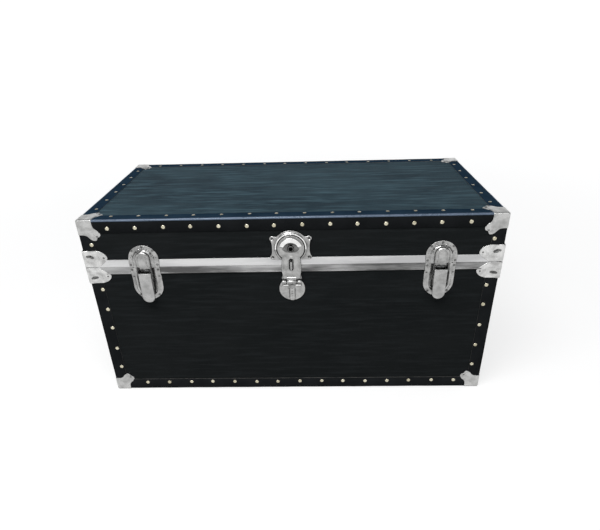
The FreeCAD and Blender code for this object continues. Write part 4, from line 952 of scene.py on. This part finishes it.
def claw_height(u, v, rim):
    side = side_distance(u, v, CLAW_HALF, CLAW_TURN)
    hood = HOOD_RISE * rolled(side + 0.6, 5.6)
    groove = bead(side, at=6.4, width=1.3, rise=0.9) * (v > 2)
    sill = slope(v, start=11, end=CLAW_SILL, rise=1.4) * (np.abs(u) < CLAW_INNER)
    crown = swell(u, v, (0, 24), (8, 10), rise=0.9)
    cheek = slope(-v, start=-2, end=26, rise=1.2) * (v < CLAW_SILL)
    return CLAW_FRONT - CLAW_FALL + hood - groove - sill + crown - cheek


def claw_base(u, v):
    return np.where(v > -HALF_GAP, CLAW_BACK, CHEEK_BACK)


for name, side in (("right", 1), ("left", -1)):
    face = drawbolt_face(side)
    lever = Piece()
    pressed(lever, face, LEVER_OUTLINE, lever_height, lever_base)
    for across in (-1, 1):
        spot = face.at((across * LEVER_HALF, -PIN_DROP, 0))
        cheek_face = Face(spot, (0, -1, 0), (0, 0, 1), (across * side, 0, 0))
        turned(lever, cheek_face, (PIN_OUT, 0, 0), PIN_HEAD_PROFILE)
    lever.make(f"{name}_lever_pressed", SMOOTH_NICKEL, f"{name}_lever", [f"{name}_drawbolt_lever"])
    claw = Piece()
    pressed(claw, face, CLAW_OUTLINE, claw_height, claw_base, step=1.2, rows=(0.3,))
    claw.make(f"{name}_claw_pressed", NICKEL, f"{name}_claw", [f"{name}_drawbolt_claw"])

# Lock plate: four nailed ears, hollow sides, and a round dome with a ring round the hasp's head.
LOCK_V = pivot("key_turn")[2] - MOUTH
LOCK_FACE = Face((0, FRONT, MOUTH), (1, 0, 0), (0, 0, 1), (0, -1, 0))
EAR_U, EAR_LOW, EAR_HIGH, EAR_ROUND = 39.5, 18.5, 61.5, 6.5
LOCK_EARS = both([(EAR_U, EAR_LOW), (EAR_U, EAR_HIGH)])
EAR_NAIL_SEAT = 1.9
LOCK_ROUND = 39
LOCK_OUT, RING_OUTER, RING_INNER = 3.4, 34.4, 30.7
RIB_MIDDLE, RIB_HALF = 40, 17
lock_side = curve([(43.2, 23.8), (41.6, 31), (41.2, 40), (41.6, 49), (43.2, 56.2)])
half_lock = [(10.5, 13.5), (10.5, 12.3), (33, 12.2)] + arc((EAR_U, EAR_LOW), EAR_ROUND, -90, 55) + lock_side
half_lock += arc((EAR_U, EAR_HIGH), EAR_ROUND, -55, 130) + [(34.2, 66.6)]
half_lock += arc((0, LOCK_V), LOCK_ROUND, 40, 90)
LOCK_OUTLINE = closed(both(half_lock))
outer_ring = arc((0, LOCK_V), RING_OUTER, -6, 186)
RING = closed(outer_ring + arc((0, LOCK_V), RING_INNER, 186, -6))


def lock_height(u, v, rim):
    reach = np.hypot(u, v - LOCK_V)
    plate = LOCK_OUT - slope(reach, start=40, end=50, rise=0.6)
    dome = slope(reach, start=36.5, end=33.5, rise=2.6)
    low_ring = bead(reach, at=33.2, width=2.4, rise=0.8)
    groove = bead(reach, at=29.9, width=1.3, rise=2.2)
    ears = 0
    for ear_u, ear_v in LOCK_EARS:
        away = np.hypot(u - ear_u, v - ear_v)
        ears = ears + bead(away, at=4.1, width=1.9, rise=0.9) - slope(away, start=3.4, end=2.0, rise=1.5)
    ribs = bead(np.abs(u), at=38.4, width=1.8, rise=0.8) * (np.abs(v - RIB_MIDDLE) < RIB_HALF)
    return (plate + dome + low_ring - groove + ears + ribs) * lip(rim, low=0.25, radius=1.4)


lock = Piece()
pressed(lock, LOCK_FACE, LOCK_OUTLINE, lock_height, step=1.2)
lock.make("lock_pressed", NICKEL, "lid", ["lock_plate"])
# Only the ring's upper half is made, in the bright nickel: a painted highlight where it faces up.
ring = Piece()
pressed(ring, LOCK_FACE, RING, raised(foot=6.6, rise=1.6, radius=1.5), LOCK_OUT, step=1.0, rows=FEW_ROWS)
ring.make("lock_ring", HIGHLIGHT_NICKEL, "lid")
for u, v in LOCK_EARS:
    turned(lid_nails, LOCK_FACE, (u, v, EAR_NAIL_SEAT), EAR_NAIL_PROFILE)
lid_nails.make("lid_nails", SHADED_NICKEL, "lid")
body_nails.make("body_nails", SHADED_NICKEL, "trunk_body")

# Hasp: a domed head, its brow a painted highlight over an eye of painted shade, a slotted strap and a
# knuckle.
HEAD, NECK, NECK_AT, BELLY, END, LINK, HASP_BACK, HASP_FACE = 29.5, 19.75, 19.1, 22, 19.35, 10.6, 6.4, 8.2
HASP_PIN_V = pivot("hasp_hinge")[2] - MOUTH
HASP_PIN_OUT = FRONT - pivot("hasp_hinge")[1]
SLOT_MIDDLE, SLOT_REACH, SLOT_HALF = 2.5, 9.75, 3.75
PLUG_RADIUS, PLUG_GAP = 6.5, 0.15
neck_angle = math.degrees(math.atan2(NECK_AT - LOCK_V, NECK))
half_hasp = [(LINK, HASP_PIN_V), (LINK, -33), (END - 1.5, -32.3), (END, -31)]
half_hasp += curve([(END + 0.2, -28), (21.6, -14), (BELLY, -4), (20.8, 8), (NECK, NECK_AT)])
head = arc((0, LOCK_V), HEAD, neck_angle, 180 - neck_angle)
HASP_OUTLINE = closed(half_hasp + head + flipped(half_hasp))
slot_top = arc((0, SLOT_MIDDLE + SLOT_REACH), SLOT_HALF, 0, 180, 0.8)
SLOT = closed(slot_top + arc((0, SLOT_MIDDLE - SLOT_REACH), SLOT_HALF, 180, 360, 0.8), 1.0)
PLUG_HOLE = closed(arc((0, LOCK_V), PLUG_RADIUS + PLUG_GAP, 0, 345, 0.8), 1.0)
brow_under = arc((0, LOCK_V - 2), 16.5, 158, 22)
BROW = closed(arc((0, LOCK_V), 25, 14, 166) + brow_under)
eye_drops = [(19, 0), (13, 6.5), (0, 9), (-13, 6.5), (-19, 0)]
EYE = np.array(brow_under + curve([(u, LOCK_V - drop) for u, drop in eye_drops]))


def hasp_height(u, v, rim):
    reach = np.hypot(u, v - LOCK_V)
    field = slope(reach, start=27, end=21, rise=2.6) * ease(v, 18, 29)
    hole_above = boss(u, v, (0, LOCK_V + 9.6), (4.4, 2.8), rise=3.4, flank=0.3)
    knobs = boss(np.abs(u), v, (14, LOCK_V - 0.5), (2.8, 2.4), rise=1.4, flank=0.6)
    slot_gap = np.hypot(u, np.maximum(np.abs(v - SLOT_MIDDLE) - SLOT_REACH, 0)) - SLOT_HALF
    slot_frame = bead(slot_gap, at=1.8, width=1.5, rise=0.7)
    strap_edge = bead(np.abs(u), at=18.4, width=1.9, rise=1.3) * (v < 21) * (v > -30)
    line = bead(v, at=-29.4, width=1.3, rise=1.2) * (np.abs(u) < 11)
    dip = bead(v, at=-26.4, width=1.7, rise=1.2) * (np.abs(u) < 10)
    curl = bead(np.hypot(np.abs(u) - 23, v - 22), at=4, width=1.4, rise=0.9) * (v < 27)
    form = HASP_FACE + field - hole_above + knobs + slot_frame + strap_edge + line - dip + curl
    return HASP_BACK + (form - HASP_BACK) * lip(rim, low=0.2, radius=1.3)


KNUCKLE, KNUCKLE_EASE, KNUCKLE_BORE, KNUCKLE_SIDES = 4.2, 0.5, 1.9, 24


def barrel(piece, start, end):
    """A rolled knuckle along the hasp's pin, with eased ends."""
    face = Face(LOCK_FACE.at((start, HASP_PIN_V, HASP_PIN_OUT)), (0, -1, 0), (0, 0, 1), (1, 0, 0))
    length = end - start
    eased = KNUCKLE - KNUCKLE_EASE
    profile = [(KNUCKLE_BORE, 0), (eased, 0), (KNUCKLE, KNUCKLE_EASE), (KNUCKLE, length - KNUCKLE_EASE)]
    profile += [(eased, length), (KNUCKLE_BORE, length)]
    turned(piece, face, (0, 0, 0), profile, KNUCKLE_SIDES)


hasp = Piece()
pressed(hasp, LOCK_FACE, HASP_OUTLINE, hasp_height, HASP_BACK, step=1.0, holes=(SLOT, PLUG_HOLE))
barrel(hasp, -LINK, LINK)
# The eye below the brow gets the dark nickel: painted shade.
tinted(hasp.make("hasp_pressed", NICKEL, "hasp", ["hasp"]), LOCK_FACE, EYE, SHADED_NICKEL)
# The brow, a raised crescent on the head's upper part, is in the bright nickel: a painted highlight.
brow = Piece()
pressed(brow, LOCK_FACE, BROW, raised(foot=11.6, rise=1.6, radius=1.5), HASP_FACE, step=1.0, rows=FEW_ROWS)
brow.make("hasp_brow", HIGHLIGHT_NICKEL, "hasp")

# Key plug: a nearly flush round plug with a deep keyhole.
PLUG_BACK = 6.9
KEYHOLE_FLOOR = 7.6
PLUG_OUTLINE = closed(arc((0, LOCK_V), PLUG_RADIUS, 0, 345, 0.8), 1.0)
keyhole_foot = [(-1.6, LOCK_V - 5.9), (1.6, LOCK_V - 5.9)]
KEYHOLE = closed(arc((0, LOCK_V - 0.4), 4.8, -65, 245, 0.6) + keyhole_foot, 0.8)
plug = Piece()
plug_face = raised(foot=11.2, rise=0.4, radius=0.8)
pressed(plug, LOCK_FACE, PLUG_OUTLINE, plug_face, PLUG_BACK, step=0.9, holes=(KEYHOLE,), rows=(0.3, 0.7))
# The plug gets the dark nickel: painted shade.
plug.make("key_plug_pressed", SHADED_NICKEL, "key_plug", ["key_plug"])
# A near-black sheet at the keyhole's floor: painted shade inside the keyhole.
keyway = Piece()
pressed(keyway, LOCK_FACE, KEYHOLE, plane(KEYHOLE_FLOOR), PLUG_BACK, step=0.9, rows=())
keyway.make("keyway_dark", KEYWAY_SHADE, "key_plug")

# Hasp base: a round plate with a raised strip and boss, a shoulder, the outer knuckles and the staple's tab.
DISC, DISC_V, DISC_OUT, SHOULDER_OUT = 29.5, -60.5, 2.3, 4.4
DISC_OUTLINE = closed(arc((0, DISC_V), DISC, 0, 358))
RIB_DOTS = (-2, 6, 12, 18)
STUDS = ((10, 9), (15, 9), (20, 8), (12, 4), (17, 3))
SHOULDER_STEPS = ((21, -6), (21, 3), (22.5, 8), (20.5, 15))
KNUCKLE_IN, KNUCKLE_OUT = 12.2, 22
TAB_OUT, TAB_FOOT = 4.9, 3.5
BLOCK_OUT, BLOCK_FOOT = 7.2, 1.2
BAR_IN, BAR_OUT, BAR_LOW, BAR_HIGH, BAR_FOOT = 7.5, 20, -52, -47.6, 1.0
half_shoulder = [(u, HASP_PIN_V + rise) for u, rise in SHOULDER_STEPS]
SHOULDER = closed(both(half_shoulder))
TAB_OUTLINE = oblong(left=-9, right=9, low=DISC_V + 25.5, high=12, step=3)


def disc_height(u, v, rim):
    reach = np.hypot(u, v - DISC_V)
    field = DISC_OUT - slope(reach, start=24, end=21.5, rise=0.7) + bead(reach, at=26.4, width=2.6, rise=0.9)
    rib = slope(np.abs(u), start=5.8, end=4.4, rise=1.6) * ease(DISC_V + 4 - v, 0, 2.5)
    rib_grooves = bead(np.abs(u), at=6.6, width=1.2, rise=0.9) * (v < DISC_V + 3)
    knob = boss(u, v, (0, DISC_V + 7), (6, 5), rise=1.9, flank=0.5)
    dots = sum(boss(u, v, (0, DISC_V - drop), (2.6, 1.2), rise=1.1, flank=0.6) for drop in RIB_DOTS)
    studs = sum(swell(np.abs(u), v, (at, DISC_V + up), (2.0, 2.0), rise=0.7) for at, up in STUDS)
    return (field + rib - rib_grooves + knob - dots + studs) * lip(rim, low=0.25, radius=1.5)


def shoulder_height(u, v, rim):
    screws = boss(np.abs(u), v, (13.6, HASP_PIN_V + 7), (2.4, 2.0), rise=1.6, flank=0.5)
    pits = 0.5 * np.sin(u * 1.9) * np.sin(v * 1.9 + 0.5) * ease(rim, 1.0, 2.5)
    return SHOULDER_OUT - screws + pits - fall(rim, radius=1.4, depth=1.6)


hasp_base = Piece()
bars = Piece()
pressed(hasp_base, LOCK_FACE, DISC_OUTLINE, disc_height, step=1.0)
pressed(hasp_base, LOCK_FACE, SHOULDER, shoulder_height, step=1.0)
pressed(hasp_base, LOCK_FACE, TAB_OUTLINE, plane(TAB_OUT), TAB_FOOT, step=3, rows=())
for side in (-1, 1):
    start, end = sorted((side * KNUCKLE_IN, side * KNUCKLE_OUT))
    barrel(hasp_base, start, end)
    block = oblong(start, end, HASP_PIN_V - KNUCKLE, HASP_PIN_V, step=2)
    pressed(hasp_base, LOCK_FACE, block, plane(BLOCK_OUT), BLOCK_FOOT, step=2, rows=())
    # Two bars below the knuckles in the bright nickel: painted highlights.
    bar = oblong(*sorted((side * BAR_IN, side * BAR_OUT)), BAR_LOW, BAR_HIGH, step=1.0)
    bar_top = raised(foot=3.4, rise=1.8, radius=1.8)
    pressed(bars, LOCK_FACE, bar, bar_top, BAR_FOOT, step=1.0, rows=FEW_ROWS)
hasp_base.make("hasp_base_pressed", NICKEL, "trunk_body", ["hasp_base"])
bars.make("hasp_base_bars", HIGHLIGHT_NICKEL, "trunk_body")

# Fastener heads on the hinges and the handles' end plates.
HINGE_X = RIGHT - 174.5
LEAF_OUT = 4.8
LEAF_SCREWS = ((-21, 32), (0, 27), (21, 32))
PLATE_OUT = 2.2
PLATE_RIVETS = both([(-58.5, 0), (-26, 12)])
HANDLE_V = pivot("right_handle_swing")[2]
body_heads = Piece()
lid_heads = Piece()
for side, end_face in ((-1, LEFT_FACE), (1, RIGHT_FACE)):
    for u, away in LEAF_SCREWS:
        for piece, sign in ((body_heads, -1), (lid_heads, 1)):
            turned(piece, BACK_FACE, (u - side * HINGE_X, MOUTH + sign * away, LEAF_OUT), NAIL_PROFILE)
    for u, up in PLATE_RIVETS:
        turned(body_heads, end_face, (u, HANDLE_V + up, PLATE_OUT), RIVET_PROFILE)
body_heads.make("body_fastener_heads", SMOOTH_NICKEL, "trunk_body")
lid_heads.make("lid_fastener_heads", SMOOTH_NICKEL, "lid")

# Camera, as fitted to the corners of the box in the photograph. Its pixels are those of the picture.
FOCAL, WIDTH, HEIGHT, AXIS_X, AXIS_Y = 499.9, 600, 530, 296.8, 300.9
PITCH, YAW, ROLL = 29.74, -2.17, 1.8
CAMERA_AT = (47, -1220, 821)
SENSOR = 36


def place_camera():
    yaw = Matrix.Rotation(math.radians(-YAW), 4, "Z")
    pitch = Matrix.Rotation(math.radians(90 - PITCH), 4, "X")
    roll = Matrix.Rotation(math.radians(-ROLL), 4, "Z")
    camera = placed("camera", bpy.data.cameras.new("camera"))
    camera.data.sensor_width = SENSOR
    camera.data.sensor_fit = "HORIZONTAL"
    camera.data.lens = FOCAL / WIDTH * SENSOR
    camera.data.shift_x = (WIDTH / 2 - AXIS_X) / WIDTH
    camera.data.shift_y = (AXIS_Y - HEIGHT / 2) / WIDTH
    camera.matrix_world = Matrix.Translation(Vector(CAMERA_AT) * MM) @ yaw @ pitch @ roll
    bpy.context.scene.camera = camera


place_camera()

# Stage, in metres: a pale round floor that curves up into a backdrop on every side.
FLOOR, BEND, STAGE_RIM, STAGE_SIDES = 5.0, 2.0, 3.6, 64
BELOW = -0.0002
GLOW = {"low": 0.68, "high": 0.95, "start": 1.0, "end": 4.0}


def stage_paint():
    """Pale paint that glows for the camera and in reflections, more so far from the trunk."""
    f = Finish("stage_paint", Base_Color=(0.45, 0.45, 0.45, 1), Roughness=0.9, Specular_IOR_Level=0.0)
    path = f.node("ShaderNodeLightPath").outputs
    seen = path["Is Camera Ray"]
    for name in ("Is Glossy Ray", "Is Transmission Ray"):
        seen = f.node("ShaderNodeMath", {0: seen, 1: path[name]}, operation="MAXIMUM").outputs[0]
    away = f.node("ShaderNodeVectorMath", {0: f.place}, operation="LENGTH").outputs["Value"]
    sockets = {0: seen, 1: f.span(away, **GLOW)}
    strength = f.node("ShaderNodeMath", sockets, operation="MULTIPLY").outputs[0]
    glow = f.node("ShaderNodeEmission", {"Strength": strength}).outputs[0]
    paint = f.node("ShaderNodeAddShader", {0: f.shader.outputs[0], 1: glow}).outputs[0]
    f.fill(f.tree.nodes["Material Output"], {"Surface": paint})
    return f.material


def build_stage():
    bend = [math.radians(angle) for angle in range(90, -1, -10)]
    profile = [(FLOOR + BEND, STAGE_RIM)]
    profile += [(FLOOR + BEND * math.sin(a), BELOW + BEND - BEND * math.cos(a)) for a in bend]
    points, faces = lathe(profile, STAGE_SIDES)
    stage = smooth_object("stage", points, faces, stage_paint())
    stage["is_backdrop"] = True


build_stage()


# Light, in metres: a soft box overhead, a long strip at the front and an even surrounding.
def softbox(name, place, target, size, radiance):
    light = bpy.data.lights.new(name, "AREA")
    light.shape = "RECTANGLE"
    light.size, light.size_y = size
    light.energy = radiance * math.pi * size[0] * size[1]
    lamp = placed(name, light)
    lamp.location = place
    lamp.rotation_mode = "QUATERNION"
    lamp.rotation_quaternion = (Vector(target) - Vector(place)).to_track_quat("-Z", "Y")


softbox("overhead", place=(-0.35, -0.75, 1.7), target=(-0.1, -0.15, 0.4), size=(0.8, 0.7), radiance=5.4)
softbox("front_strip", place=(-0.2, -1.75, 2.75), target=(0, -0.2, 0.4), size=(4.6, 0.8), radiance=3.4)
world = bpy.data.worlds.new("studio")
world.use_nodes = True
surround = world.node_tree.nodes["Background"].inputs
surround["Color"].default_value = (0.97, 0.985, 1.0, 1)
surround["Strength"].default_value = 0.42
bpy.context.scene.world = world
bpy.context.scene.view_settings.view_transform = "Standard"

low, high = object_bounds()
